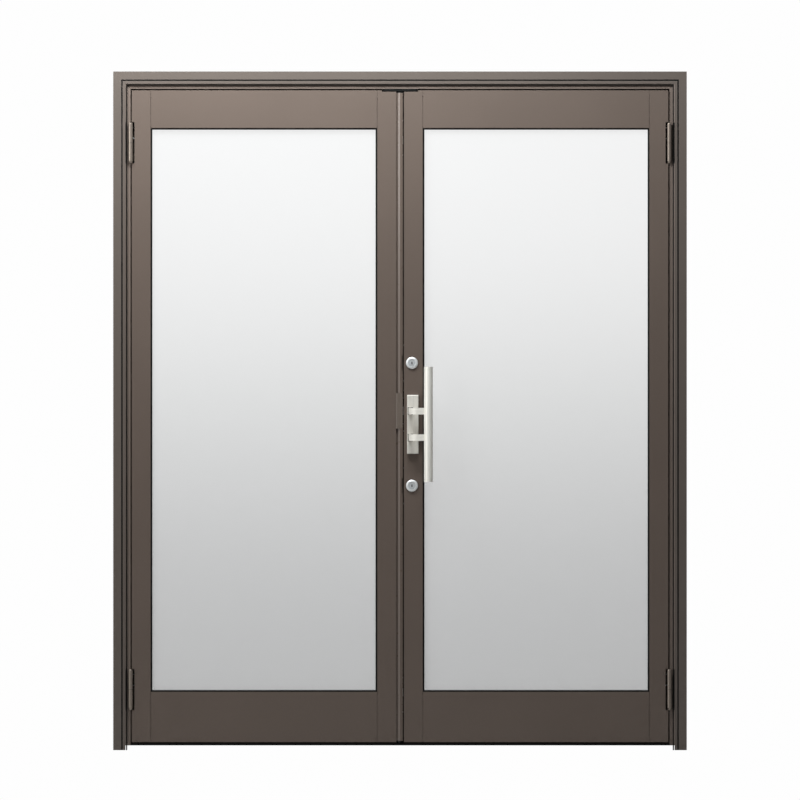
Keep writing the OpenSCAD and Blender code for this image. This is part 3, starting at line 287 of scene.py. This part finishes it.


# ---------------------------------------------------------------- threshold
# An aluminium sill whose near-black colour is painted shade, standing in for the shade of the gap
# under the leaves: a thin tread under the leaves and a hollow stop behind them. Fine grip ribs are
# rolled along the front of the tread, and a steel bush takes the lower flush bolt.

def dull_black(name, colour, roughness, grain=500, depth=0.00005, specular=0.3):
    """Near black surface with a fine grain, for rubber, moulded nylon and the sill's painted-shade
    black.
    """
    made, tree, shader = new_material(name)
    speckle = object_noise(tree, grain, 3)
    wire(tree, blend_colours(tree, speckle, scaled(colour, 0.75), scaled(colour, 1.3)),
         shader.inputs["Base Color"])
    wire(tree, remap(tree, speckle, roughness - 0.08, roughness + 0.08), shader.inputs["Roughness"])
    wire(tree, bump(tree, speckle, depth, 0.5), shader.inputs["Normal"])
    shader.inputs["Specular IOR Level"].default_value = specular
    return made


# painted shade: the sill is near black so it reads as the dark gap under the leaves
shade_black_anodised = dull_black("shade_black_anodised", (0.0032, 0.0028, 0.0025), 0.5, specular=0.12)
finish(shade_black_anodised, "sill")


class GeometryTree:
    """A Geometry Nodes tree under construction, with short calls to add and wire its nodes."""

    def __init__(self, name, sizes):
        self.tree = bpy.data.node_groups.new(name, "GeometryNodeTree")
        side = self.tree.interface
        side.new_socket("Geometry", in_out="INPUT", socket_type="NodeSocketGeometry")
        side.new_socket("Geometry", in_out="OUTPUT", socket_type="NodeSocketGeometry")
        self.ids = {}
        for label, kind in sizes.items():
            socket = side.new_socket(label, in_out="INPUT", socket_type="NodeSocket" + kind)
            self.ids[label] = socket.identifier
        self.inputs = self.add("NodeGroupInput").outputs
        self.end = self.add("NodeGroupOutput").inputs["Geometry"]

    def add(self, kind, settings=(), **links):
        """New node; each link sets an input by its place or name, from a socket or a value."""
        node = self.tree.nodes.new(kind)
        for key, value in dict(settings).items():
            setattr(node, key, value)
        for key, value in links.items():
            place = int(key[1:]) if key[1:].isdigit() else key.replace("_", " ")
            socket = node.inputs[place]
            self.feed(socket, value)
        return node

    def feed(self, socket, value):
        for one in value if isinstance(value, list) else [value]:
            if isinstance(one, bpy.types.NodeSocket):
                self.tree.links.new(one, socket)
            else:
                socket.default_value = one

    def sum(self, operation, first, second):
        return self.add("ShaderNodeMath", {"operation": operation}, i0=first, i1=second).outputs[0]

    def point(self, x=0.0, y=0.0, z=0.0):
        return self.add("ShaderNodeCombineXYZ", X=x, Y=y, Z=z).outputs[0]

    def close(self, geometry, material):
        """Realizes the instances and gives everything its material."""
        solid = self.add("GeometryNodeRealizeInstances", Geometry=geometry).outputs[0]
        painted = self.add("GeometryNodeSetMaterial", Geometry=solid, Material=material).outputs[0]
        self.feed(self.end, painted)


def grow(name, rule, points, sizes, **attributes):
    """Runs a Geometry Nodes tree on bare points and returns the result as a plain mesh."""
    seed = bpy.data.meshes.new(name + "_points")
    seed.from_pydata(points, [], [])
    for label, vectors in attributes.items():
        layer = seed.attributes.new(label, "FLOAT_VECTOR", "POINT")
        for slot, vector in zip(layer.data, vectors):
            slot.vector = vector
    holder = bpy.data.objects.new(name + "_points", seed)
    scene.collection.objects.link(holder)
    modifier = holder.modifiers.new("rule", "NODES")
    modifier.node_group = rule.tree
    for label, value in sizes.items():
        modifier[rule.ids[label]] = value
    bpy.context.view_layer.update()
    seen = holder.evaluated_get(bpy.context.evaluated_depsgraph_get())
    mesh = bpy.data.meshes.new_from_object(seen)
    holder.modifiers.remove(modifier)
    bpy.data.objects.remove(holder)
    mesh.name = name
    return mesh


def place_piece(name, mesh, body, slot, *replaced):
    """Puts a finished mesh in the scene as a piece of the given body."""
    piece = bpy.data.objects.new(name, mesh)
    scene.collection.objects.link(piece)
    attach(piece, body)
    if replaced:
        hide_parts(*replaced)
    return piece


rib_count = 3
rib_pitch = 0.004
rib_width = 0.0016
rib_rise = 0.0006
rib_end = 0.006
first_rib = 0.004
sill_low, sill_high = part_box("sill")
keeper_low, keeper_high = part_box("sill_keeper")
sill_half = (sill_high.x - sill_low.x) / 2

ribs = GeometryTree("tread_rib_rule", {"Count": "Int", "Pitch": "Float", "Width": "Float",
                                       "Rise": "Float", "Length": "Float"})
give = ribs.inputs
rows = ribs.add("GeometryNodeMeshLine", {"mode": "OFFSET"}, Count=give["Count"],
                Offset=ribs.point(y=give["Pitch"]))
bar = ribs.add("GeometryNodeMeshCylinder", Vertices=12, Radius=0.5, Depth=1.0)
turned = ribs.add("GeometryNodeTransform", Geometry=bar.outputs["Mesh"],
                  Rotation=(0, math.pi / 2, 0),
                  Scale=ribs.point(ribs.sum("MULTIPLY", give["Rise"], 2.0), give["Width"],
                                   give["Length"]))
spread = ribs.add("GeometryNodeInstanceOnPoints", Points=rows.outputs["Mesh"],
                  Instance=turned.outputs["Geometry"])
start = ribs.add("GeometryNodeInstanceOnPoints", Points=give["Geometry"],
                 Instance=spread.outputs["Instances"])
ribs.close(start.outputs["Instances"], shade_black_anodised)
tread_z = keeper_high.z - rib_rise * 0.2
mesh = grow("threshold_grip_ribs", ribs, [(0, sill_low.y + first_rib, tread_z)],
            {"Count": rib_count, "Pitch": rib_pitch, "Width": rib_width, "Rise": rib_rise,
             "Length": 2 * (sill_half - rib_end)})
place_piece("threshold_grip_ribs", mesh, "frame", "dark_sill")


# ---------------------------------------------------------------- frame screws
# Black zinc plated steel screws with a cross recess: they hold the rebate profile to the casing
# through its access holes, and the hinge halves to the jambs. Their recesses lie at chance angles.

steel = brushed("zinc_steel", (0.62, 0.61, 0.59), 0.35, (1, 1, 1))
black_zinc = brushed("black_zinc", (0.075, 0.070, 0.066), 0.4, (1, 1, 1))
finish(steel, "sill_keeper")

screws = GeometryTree("cross_screw_rule", {"Head Radius": "Float", "Head Height": "Float",
                                           "Shank Radius": "Float", "Length": "Float", "Seed": "Int",
                                           "Finish": "Material"})
give = screws.inputs
head = screws.add("GeometryNodeMeshCone", Vertices=24, Side_Segments=1,
                  Radius_Top=screws.sum("MULTIPLY", give["Head Radius"], 0.84),
                  Radius_Bottom=give["Head Radius"], Depth=give["Head Height"])
arm_span = screws.sum("MULTIPLY", give["Head Radius"], 1.1)
arm_width = screws.sum("MULTIPLY", give["Head Radius"], 0.2)
cut_depth = screws.sum("MULTIPLY", give["Head Height"], 1.2)
arms = [screws.add("GeometryNodeMeshCube", Size=screws.point(x, y, cut_depth)).outputs["Mesh"]
        for x, y in ((arm_span, arm_width), (arm_width, arm_span))]
cross = screws.add("GeometryNodeMeshBoolean", {"operation": "UNION", "solver": "EXACT"})
for arm in arms:
    screws.tree.links.new(arm, cross.inputs["Mesh 2"])
lifted = screws.add("GeometryNodeTransform", Geometry=cross.outputs["Mesh"],
                    Translation=screws.point(z=give["Head Height"]))
recessed = screws.add("GeometryNodeMeshBoolean", {"operation": "DIFFERENCE", "solver": "EXACT"},
                      i0=head.outputs["Mesh"], i1=lifted.outputs["Geometry"])
shank_length = screws.sum("SUBTRACT", give["Length"], give["Head Height"])
shank = screws.add("GeometryNodeMeshCylinder", Vertices=16, Radius=give["Shank Radius"],
                   Depth=shank_length)
sunk = screws.add("GeometryNodeTransform", Geometry=shank.outputs["Mesh"],
                  Translation=screws.point(z=screws.sum("MULTIPLY", shank_length, -0.5)))
whole = screws.add("GeometryNodeJoinGeometry",
                   i0=[recessed.outputs["Mesh"], sunk.outputs["Geometry"]])
aim = screws.add("GeometryNodeInputNamedAttribute", {"data_type": "FLOAT_VECTOR"}, Name="aim")
facing = screws.add("FunctionNodeAlignRotationToVector", {"axis": "Z"},
                    Vector=aim.outputs["Attribute"])
chance = screws.add("FunctionNodeRandomValue", {"data_type": "FLOAT"}, Seed=give["Seed"])
chance.inputs[3].default_value = math.pi
spin = screws.add("FunctionNodeAxisAngleToRotation", Axis=(0, 0, 1), Angle=chance.outputs[1])
turned = screws.add("FunctionNodeRotateRotation", {"rotation_space": "LOCAL"},
                    Rotation=facing.outputs[0], Rotate_By=spin.outputs[0])
spread = screws.add("GeometryNodeInstanceOnPoints", Points=give["Geometry"],
                    Instance=whole.outputs[0], Rotation=turned.outputs[0])
screws.close(spread.outputs["Instances"], give["Finish"])


def loose_boxes(name):
    """Lowest and highest corner of every separate solid in a CAD node."""
    bm = bmesh.new()
    bm.from_mesh(nodes[name].data)
    bmesh.ops.remove_doubles(bm, verts=bm.verts, dist=1e-6)
    found, seen = [], set()
    for first in bm.verts:
        if first in seen:
            continue
        seen.add(first)
        stack, reached = [first], []
        while stack:
            vertex = stack.pop()
            reached.append(vertex.co.copy())
            for edge in vertex.link_edges:
                other = edge.other_vert(vertex)
                if other not in seen:
                    seen.add(other)
                    stack.append(other)
        found.append((Vector(min(p[i] for p in reached) for i in range(3)),
                      Vector(max(p[i] for p in reached) for i in range(3))))
    bm.free()
    return found


def joined(name, meshes):
    """One mesh out of several."""
    bm = bmesh.new()
    for mesh in meshes:
        bm.from_mesh(mesh)
    made = bpy.data.meshes.new(name)
    bm.to_mesh(made)
    bm.free()
    made.materials.append(meshes[0].materials[0])
    return made


def screw_set(name, places, head_radius, head_height, shank_radius, length, seed, metal):
    """Screws given as (middle of the head's seat, direction the head faces)."""
    return grow(name, screws, [tuple(seat) for seat, way in places],
                {"Head Radius": head_radius, "Head Height": head_height,
                 "Shank Radius": shank_radius, "Length": length, "Seed": seed, "Finish": metal},
                aim=[tuple(way) for seat, way in places])


def remake_screws(node, facing, head_height_of):
    """Replaces a CAD node's plain screws by recessed ones of the same sizes and places."""
    kinds = {}
    for low, high in loose_boxes(node):
        size = high - low
        axis = max(range(3), key=lambda i: size[i])
        radius = round(sorted(size)[1] / 2, 5)
        middle = (low + high) / 2
        way = Vector((0, 0, 0))
        way[axis] = facing(middle, axis)
        seat = middle.copy()
        seat[axis] += way[axis] * (size[axis] / 2 - head_height_of(radius))
        kinds.setdefault((radius, round(size[axis], 5)), []).append((seat, way))
    return joined(node + "_recessed", [
        screw_set(f"{node}_{i}", places, radius, head_height_of(radius), radius * 0.555, length, i + 3,
                  black_zinc)
        for i, ((radius, length), places) in enumerate(sorted(kinds.items()))])


small_head = 0.0036
small_head_height = 0.0012
corner_head_height = 0.0035
head_tolerance = 0.0004


def head_height_of(radius):
    return small_head_height if radius < small_head + head_tolerance else corner_head_height


def towards_opening(middle, axis):
    return -1 if middle[axis] > 0 else 1


def towards_jamb(middle, axis):
    return 1 if middle[axis] > 0 else -1


place_piece("frame_screws_recessed", remake_screws("frame_screws", towards_opening, head_height_of),
            "frame", "steel", "frame_screws")


# ---------------------------------------------------------------- seal round the stops
# One length of hollow EPDM rubber pushed into the groove of the stops; its bulb meets the leaves.

rubber = dull_black("rubber", (0.005, 0.0047, 0.0043), 0.62, specular=0.12)
finish(rubber, "frame_seal")


# ---------------------------------------------------------------- strips in the shadow grooves
# Two black rubber strips pressed into the frame's grooves, one in the casing's face and one behind
# the bevelled lip, each with a thin edge that laps the metal. Their black is painted shade, standing
# in for the shade down in the grooves. Cut to lengths and mitred at the top.

def mitred_run(name, outline, half_width, top, foot, material):
    """The outline (distance in from the frame's outer edge, y) run up one jamb, across and down."""
    bm = bmesh.new()
    loops = [[bm.verts.new(point) for point in ((u - half_width, y, foot), (u - half_width, y, top - u),
                                               (half_width - u, y, top - u), (half_width - u, y, foot))]
             for u, y in outline]
    for loop, following in zip(loops, loops[1:] + loops[:1]):
        for i in range(3):
            bm.faces.new((loop[i], loop[i + 1], following[i + 1], following[i]))
    for i in (0, 3):
        bm.faces.new([loop[i] for loop in loops])
    bmesh.ops.recalc_face_normals(bm, faces=bm.faces)
    mesh = bpy.data.meshes.new(name)
    bm.to_mesh(mesh)
    bm.free()
    mesh.materials.append(material)
    return mesh


casing_low, casing_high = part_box("left_casing_jamb")
head_low, head_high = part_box("casing_head")
# painted shade: black strips that make the grooves read dark
shade_strip_profiles = {
    "casing_groove_shade_strip": [(0.0241, 0.005), (0.0241, 0), (0.0236, 0), (0.0238, -0.0002),
                            (0.0277, -0.0002), (0.0279, 0), (0.0274, 0), (0.0274, 0.005)],
    "lip_groove_shade_strip": [(0.0391, 0.016), (0.0391, 0.00305), (0.0378, 0.00178), (0.0380, 0.0015),
                         (0.0395, 0.0027), (0.0414, 0.0034), (0.0414, 0.016)]}
for name, outline in shade_strip_profiles.items():
    profile = [(u, casing_low.y + depth) for u, depth in outline]
    place_piece(name, mitred_run(name, profile, head_high.x, head_high.z, casing_low.z, rubber),
                "frame", "black_rubber")


# ---------------------------------------------------------------- head block and bush
# Moulded nylon block screwed under the head where the leaves meet, bored for the upper flush bolt.

nylon = dull_black("nylon", (0.005, 0.0048, 0.0045), 0.5, 260, specular=0.15)
finish(nylon, "head_keeper")


# ---------------------------------------------------------------- hinges
# Turned steel barrels of two halves on a plain pin, painted a darker bronze than the frame. The
# domed upper half is screwed to the leaf's edge and the tapered lower half to the jamb.

hinge_paint = flake_paint("hinge_paint", (0.27, 0.225, 0.19), upright_lines, 0.33, 0.06, 0.6)
finish(hinge_paint, "frame_hinge_halves", "left_hinge_halves", "right_hinge_halves")
# painted shade: the pin is near black so the split between the barrel halves reads dark
finish(brushed("pin_steel_painted_shade", (0.055, 0.052, 0.05), 0.3, (1, 1, 1), 0.5), "hinge_pins")


# ---------------------------------------------------------------- stiles and rails
# Extruded aluminium tubes, square cut and screwed together through the stiles, with a leg in front
# of the glass. The same bronze grey paint as the casing, with the die lines along each length.

leaf_bronze = (0.114, 0.0855, 0.0705)
leaf_upright = flake_paint("leaf_paint_upright", leaf_bronze, upright_lines)
leaf_level = flake_paint("leaf_paint_level", leaf_bronze, level_lines)
for side in ("left", "right"):
    finish(leaf_upright, f"{side}_hinge_stile", f"{side}_meeting_stile")
    finish(leaf_level, f"{side}_top_rail", f"{side}_bottom_rail")
    place_piece(f"{side}_leaf_screws_recessed",
                remake_screws(f"{side}_leaf_screws", towards_jamb, head_height_of),
                f"{side}_leaf", "steel", f"{side}_leaf_screws")


# ---------------------------------------------------------------- glass
# Toughened panes with a satin frost. Its grey thickens from the head down to the foot as painted
# shade, standing in for the light that falls away down the door. They stand on rubber blocks in the
# bottom rail.

glass, tree, shader = new_material("frost_glass_painted_shade")
place = tree.nodes.new("ShaderNodeTexCoord")
split = tree.nodes.new("ShaderNodeSeparateXYZ")
wire(tree, place.outputs["Object"], split.inputs["Vector"])
height = tree.nodes.new("ShaderNodeMapRange")
glass_low, glass_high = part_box("right_glass")
height.inputs["From Min"].default_value = glass_low[2]
height.inputs["From Max"].default_value = glass_high[2]
wire(tree, split.outputs["Z"], height.inputs["Value"])
# painted shade: the frost's alpha, and with it the pane's grey, grows towards the foot
painted_shade_stops = ((0.0, 0.432), (0.167, 0.398), (0.343, 0.326), (0.518, 0.239), (0.693, 0.152),
               (0.86, 0.106), (1.0, 0.095))
painted_shade_ramp = tree.nodes.new("ShaderNodeValToRGB")
while len(painted_shade_ramp.color_ramp.elements) < len(painted_shade_stops):
    painted_shade_ramp.color_ramp.elements.new(0.5)
for element, (position, value) in zip(painted_shade_ramp.color_ramp.elements, painted_shade_stops):
    element.position = position
    element.color = (value, value, value, 1)
painted_shade_ramp.color_ramp.interpolation = "B_SPLINE"
wire(tree, height.outputs["Result"], painted_shade_ramp.inputs["Fac"])
wire(tree, painted_shade_ramp.outputs["Color"], shader.inputs["Alpha"])
shader.inputs["Base Color"].default_value = (0.40, 0.403, 0.407, 1)
shader.inputs["IOR"].default_value = 1.5
frost = object_noise(tree, 420, 3)
wire(tree, remap(tree, frost, 0.30, 0.40), shader.inputs["Roughness"])
wire(tree, bump(tree, frost, 0.00002, 0.3), shader.inputs["Normal"])
finish(glass, "left_glass", "right_glass")
finish(rubber, "left_setting_blocks", "right_setting_blocks")


# ---------------------------------------------------------------- gaskets and glazing beads
# Black rubber gaskets clamp the glass all round, each with a rounded lip that laps the profile.
# Behind it, aluminium beads with a sloped face snap into the rails, mitred at the corners.

def mitred_ring(name, outline, corners, material):
    """A closed ring: the outline (distance outwards from the opening, y) swept round its corners."""
    (x0, z0), (x1, z1) = corners
    bm = bmesh.new()
    loops = [[bm.verts.new((x, y, z)) for x, z in ((x0 - d, z0 - d), (x1 + d, z0 - d),
                                                  (x1 + d, z1 + d), (x0 - d, z1 + d))]
             for d, y in outline]
    for loop, following in zip(loops, loops[1:] + loops[:1]):
        for i in range(4):
            bm.faces.new((loop[i], loop[i - 1], following[i - 1], following[i]))
    bmesh.ops.recalc_face_normals(bm, faces=bm.faces)
    mesh = bpy.data.meshes.new(name)
    bm.to_mesh(mesh)
    bm.free()
    mesh.materials.append(material)
    return mesh


def rounded(centre, radius, start, stop, steps=6):
    """Points of an arc from angle start to stop, in degrees."""
    return [(centre[0] + radius * math.cos(math.radians(start + (stop - start) * i / steps)),
             centre[1] + radius * math.sin(math.radians(start + (stop - start) * i / steps)))
            for i in range(steps + 1)]


bead_width = 0.0135
gasket_lip = 0.0053
gasket_hold = 0.0055
gasket_slope = 0.0012
gasket_edge = 0.0012
outer_hold_depth = 0.003
inner_hold_depth = 0.005
bead_wall = 0.0015
bead_slope = 0.005
bead_round = 0.0012
bead_round_in = 0.0004
for side in ("left", "right"):
    low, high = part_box(f"{side}_outer_gasket")
    corners = ((low.x + gasket_hold, low.z + gasket_hold), (high.x - gasket_hold, high.z - gasket_hold))
    front, back = low.y, high.y
    profile = ([(gasket_hold, back), (-gasket_lip, back)]
               + rounded((-gasket_lip + gasket_slope, front + gasket_slope + gasket_edge),
                         gasket_slope, 180, 270)
               + [(0, front), (0, front + outer_hold_depth), (gasket_hold, front + outer_hold_depth)])
    place_piece(f"{side}_outer_gasket_lipped", mitred_ring(f"{side}_outer_gasket_lipped", profile,
                                                           corners, rubber),
                f"{side}_leaf", "black_rubber", f"{side}_outer_gasket")

    low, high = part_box(f"{side}_inner_gasket")
    front, back = low.y, high.y
    profile = ([(gasket_hold, front), (gasket_hold, front + inner_hold_depth),
                (0, front + inner_hold_depth), (0, back)]
               + rounded((-gasket_lip + gasket_slope, back - gasket_slope - gasket_edge),
                         gasket_slope, 90, 180)
               + [(-gasket_lip, front)])
    place_piece(f"{side}_inner_gasket_lipped", mitred_ring(f"{side}_inner_gasket_lipped", profile,
                                                           corners, rubber),
                f"{side}_leaf", "black_rubber", f"{side}_inner_gasket")

    low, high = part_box(f"{side}_glazing_beads")
    front, back = low.y, high.y
    profile = ([(bead_width, front), (bead_width, back), (bead_slope, back)]
               + rounded((bead_round, back - bead_slope + bead_round_in), bead_round, 120, 180)
               + [(0, front), (bead_wall, front), (bead_wall, back - bead_slope),
                  (bead_slope, back - bead_wall), (bead_width - bead_wall, back - bead_wall),
                  (bead_width - bead_wall, front)])
    place_piece(f"{side}_glazing_beads_mitred", mitred_ring(f"{side}_glazing_beads_mitred", profile,
                                                            corners, leaf_level),
                f"{side}_leaf", "leaf_paint", f"{side}_glazing_beads")


# ---------------------------------------------------------------- meeting cover
# The strip on the left leaf's edge that closes the joint: painted aluminium with a bevelled
# shoulder, nylon end caps, and a rubber flap behind that laps the right leaf.

finish(flake_paint("cover_paint", leaf_bronze, upright_lines, 0.29), "meeting_cover")
finish(nylon, "cover_end_caps")
finish(rubber, "meeting_seal")


# ---------------------------------------------------------------- strike and flush bolts
# A pressed steel strike wraps the cover's edge, painted to match. Steel flush bolts with finger
# sliders run behind satin edge plates. All are held by small countersunk cross screws.

finish(flake_paint("strike_paint", (0.128, 0.102, 0.085), upright_lines, 0.36), "strike_plate")
edge_plate = brushed("edge_plate_steel", (0.60, 0.59, 0.57), 0.34, (1, 1, 0.02))
finish(edge_plate, "flush_bolt_plates", "top_flush_bolt", "bottom_flush_bolt")

plate_screw_radius = 0.0026
plate_screw_height = 0.0005
plate_screw_length = 0.006
plate_screw_in = 0.0042
places = []
for low, high in loose_boxes("flush_bolt_plates"):
    for z in (low.z + plate_screw_in, high.z - plate_screw_in):
        places.append((Vector((high.x, (low.y + high.y) / 2, z)), Vector((1, 0, 0))))
low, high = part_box("strike_plate")
latch_low, latch_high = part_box("latch_bolt")
strike_screw_step = 0.038
for k in (-1, 1):
    places.append((Vector((high.x, (latch_low.y + latch_high.y) / 2,
                           (low.z + high.z) / 2 + k * strike_screw_step)), Vector((1, 0, 0))))
place_piece("edge_plate_screws",
            screw_set("edge_plate_screws", places, plate_screw_radius, plate_screw_height,
                      plate_screw_radius * 0.5, plate_screw_length, 11, steel),
            "left_leaf", "steel")


# ---------------------------------------------------------------- latch and deadlocks
# Cased mortice locks let into the right leaf's edge: satin steel faceplates, each held by two
# screws, a bevelled latch, and two square deadbolts.

finish(edge_plate, "latch_case", "lock_cases")
finish(brushed("bolt_steel", (0.70, 0.69, 0.66), 0.3, (0.02, 1, 1)),
       "latch_bolt", "upper_deadbolt", "lower_deadbolt")

faceplate_screw_in = 0.0052
places = []
for name in ("latch_case", "lock_cases"):
    for low, high in loose_boxes(name):
        for z in (low.z + faceplate_screw_in, high.z - faceplate_screw_in):
            places.append((Vector((low.x, (low.y + high.y) / 2, z)), Vector((-1, 0, 0))))
place_piece("faceplate_screws",
            screw_set("faceplate_screws", places, plate_screw_radius, plate_screw_height,
                      plate_screw_radius * 0.5, plate_screw_length, 23, steel),
            "right_leaf", "steel")


# ---------------------------------------------------------------- lock cylinders
# Satin chromed brass: a domed guard ring round each key plug outside, with a sprung black shutter in
# the keyway whose black is painted shade of the keyhole, and a rose with an oval thumb turn inside.

chrome = brushed("satin_chrome", (0.82, 0.83, 0.835), 0.40, (1, 1, 1), 0.45, 700)
finish(chrome, "lock_escutcheons", "upper_thumb_turn", "lower_thumb_turn")
finish(brushed("plug_nickel", (0.62, 0.635, 0.65), 0.38, (1, 1, 1), 0.4, 700),
       "lock_cylinders", "upper_key_plug", "lower_key_plug")


def boxes(name, corners, material):
    """One mesh of plain boxes, each given by its lowest and highest corner."""
    bm = bmesh.new()
    for low, high in corners:
        made = bmesh.ops.create_cube(bm, size=1)["verts"]
        bmesh.ops.scale(bm, vec=Vector(high) - Vector(low), verts=made)
        bmesh.ops.translate(bm, vec=(Vector(low) + Vector(high)) / 2, verts=made)
    mesh = bpy.data.meshes.new(name)
    bm.to_mesh(mesh)
    bm.free()
    mesh.materials.append(material)
    return mesh


# painted shade: a black plate just inside each key plug's face, standing in for the dark keyhole
shutter_half_width = 0.0014
shutter_half_height = 0.0039
shutter_setback = 0.0005
shutter_thickness = 0.0008
for which in ("upper", "lower"):
    low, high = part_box(f"{which}_key_plug")
    x, z = (low.x + high.x) / 2, (low.z + high.z) / 2
    front = low.y + shutter_setback
    shutter = boxes(f"{which}_keyway_shade_shutter",
                    [((x - shutter_half_width, front, z - shutter_half_height),
                      (x + shutter_half_width, front + shutter_thickness, z + shutter_half_height))],
                    nylon)
    place_piece(f"{which}_keyway_shade_shutter", shutter, f"{which}_turn", "black_nylon")


# ---------------------------------------------------------------- push-pull handles
# A flat plate on each face with bevelled edges; two elbow arms come out of its slots and carry a
# tubular bar with plugged ends. Satin anodised aluminium, with thin black liners in the slots as
# painted shade round the arms.

finish(brushed("bar_satin", (0.96, 0.92, 0.855), 0.42, (1, 1, 0.02), 0.3),
       "outside_handle_bar", "inside_handle_bar")
finish(brushed("arm_satin", (0.80, 0.765, 0.705), 0.48, (0.03, 0.03, 1), 0.2),
       "outside_handle_arms", "inside_handle_arms")
finish(brushed("plate_satin", (0.79, 0.755, 0.695), 0.38, (1, 1, 0.02), 0.3),
       "outside_handle_plate", "inside_handle_plate")

# painted shade: the black liners darken the slots round the arms
arm_span_between = 0.078
slot_start, slot_end = 0.0021, 0.0172
slot_half_height = 0.011
liner_wall = 0.0002
liner_play = 0.00002
rim = 0.0007
floor_left = 0.0005
for side, outwards in (("outside", -1), ("inside", 1)):
    low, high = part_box(f"{side}_handle_plate")
    face, seat = (low.y, high.y) if outwards < 0 else (high.y, low.y)
    near_y, far_y = face - outwards * rim, seat + outwards * (floor_left + liner_play)
    y0, y1 = sorted((near_y, far_y))
    floor_y = sorted((far_y, far_y + outwards * liner_wall))
    x0, x1 = low.x + slot_start + liner_play, low.x + slot_end - liner_play
    walls = []
    for k in (-1, 1):
        middle = (low.z + high.z) / 2 + k * arm_span_between / 2
        z0, z1 = middle - slot_half_height + liner_play, middle + slot_half_height - liner_play
        walls += [((x0, y0, z0), (x0 + liner_wall, y1, z1)),
                  ((x0 + liner_wall, y0, z0), (x1, y1, z0 + liner_wall)),
                  ((x0 + liner_wall, y0, z1 - liner_wall), (x1, y1, z1)),
                  ((x0 + liner_wall, floor_y[0], z0 + liner_wall), (x1, floor_y[1], z1 - liner_wall))]
    place_piece(f"{side}_slot_shade_liners", boxes(f"{side}_slot_shade_liners", walls, nylon),
                "right_leaf", "black_nylon")

fixing_radius = 0.0035
fixing_height = 0.0008
fixing_length = 0.006
fixing_step = 0.072
low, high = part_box("inside_handle_plate")
places = [(Vector(((low.x + high.x) / 2, high.y, (low.z + high.z) / 2 + k * fixing_step)),
           Vector((0, 1, 0))) for k in (-1, 1)]
place_piece("inside_plate_screws",
            screw_set("inside_plate_screws", places, fixing_radius, fixing_height,
                      fixing_radius * 0.5, fixing_length, 31, steel),
            "right_leaf", "steel")
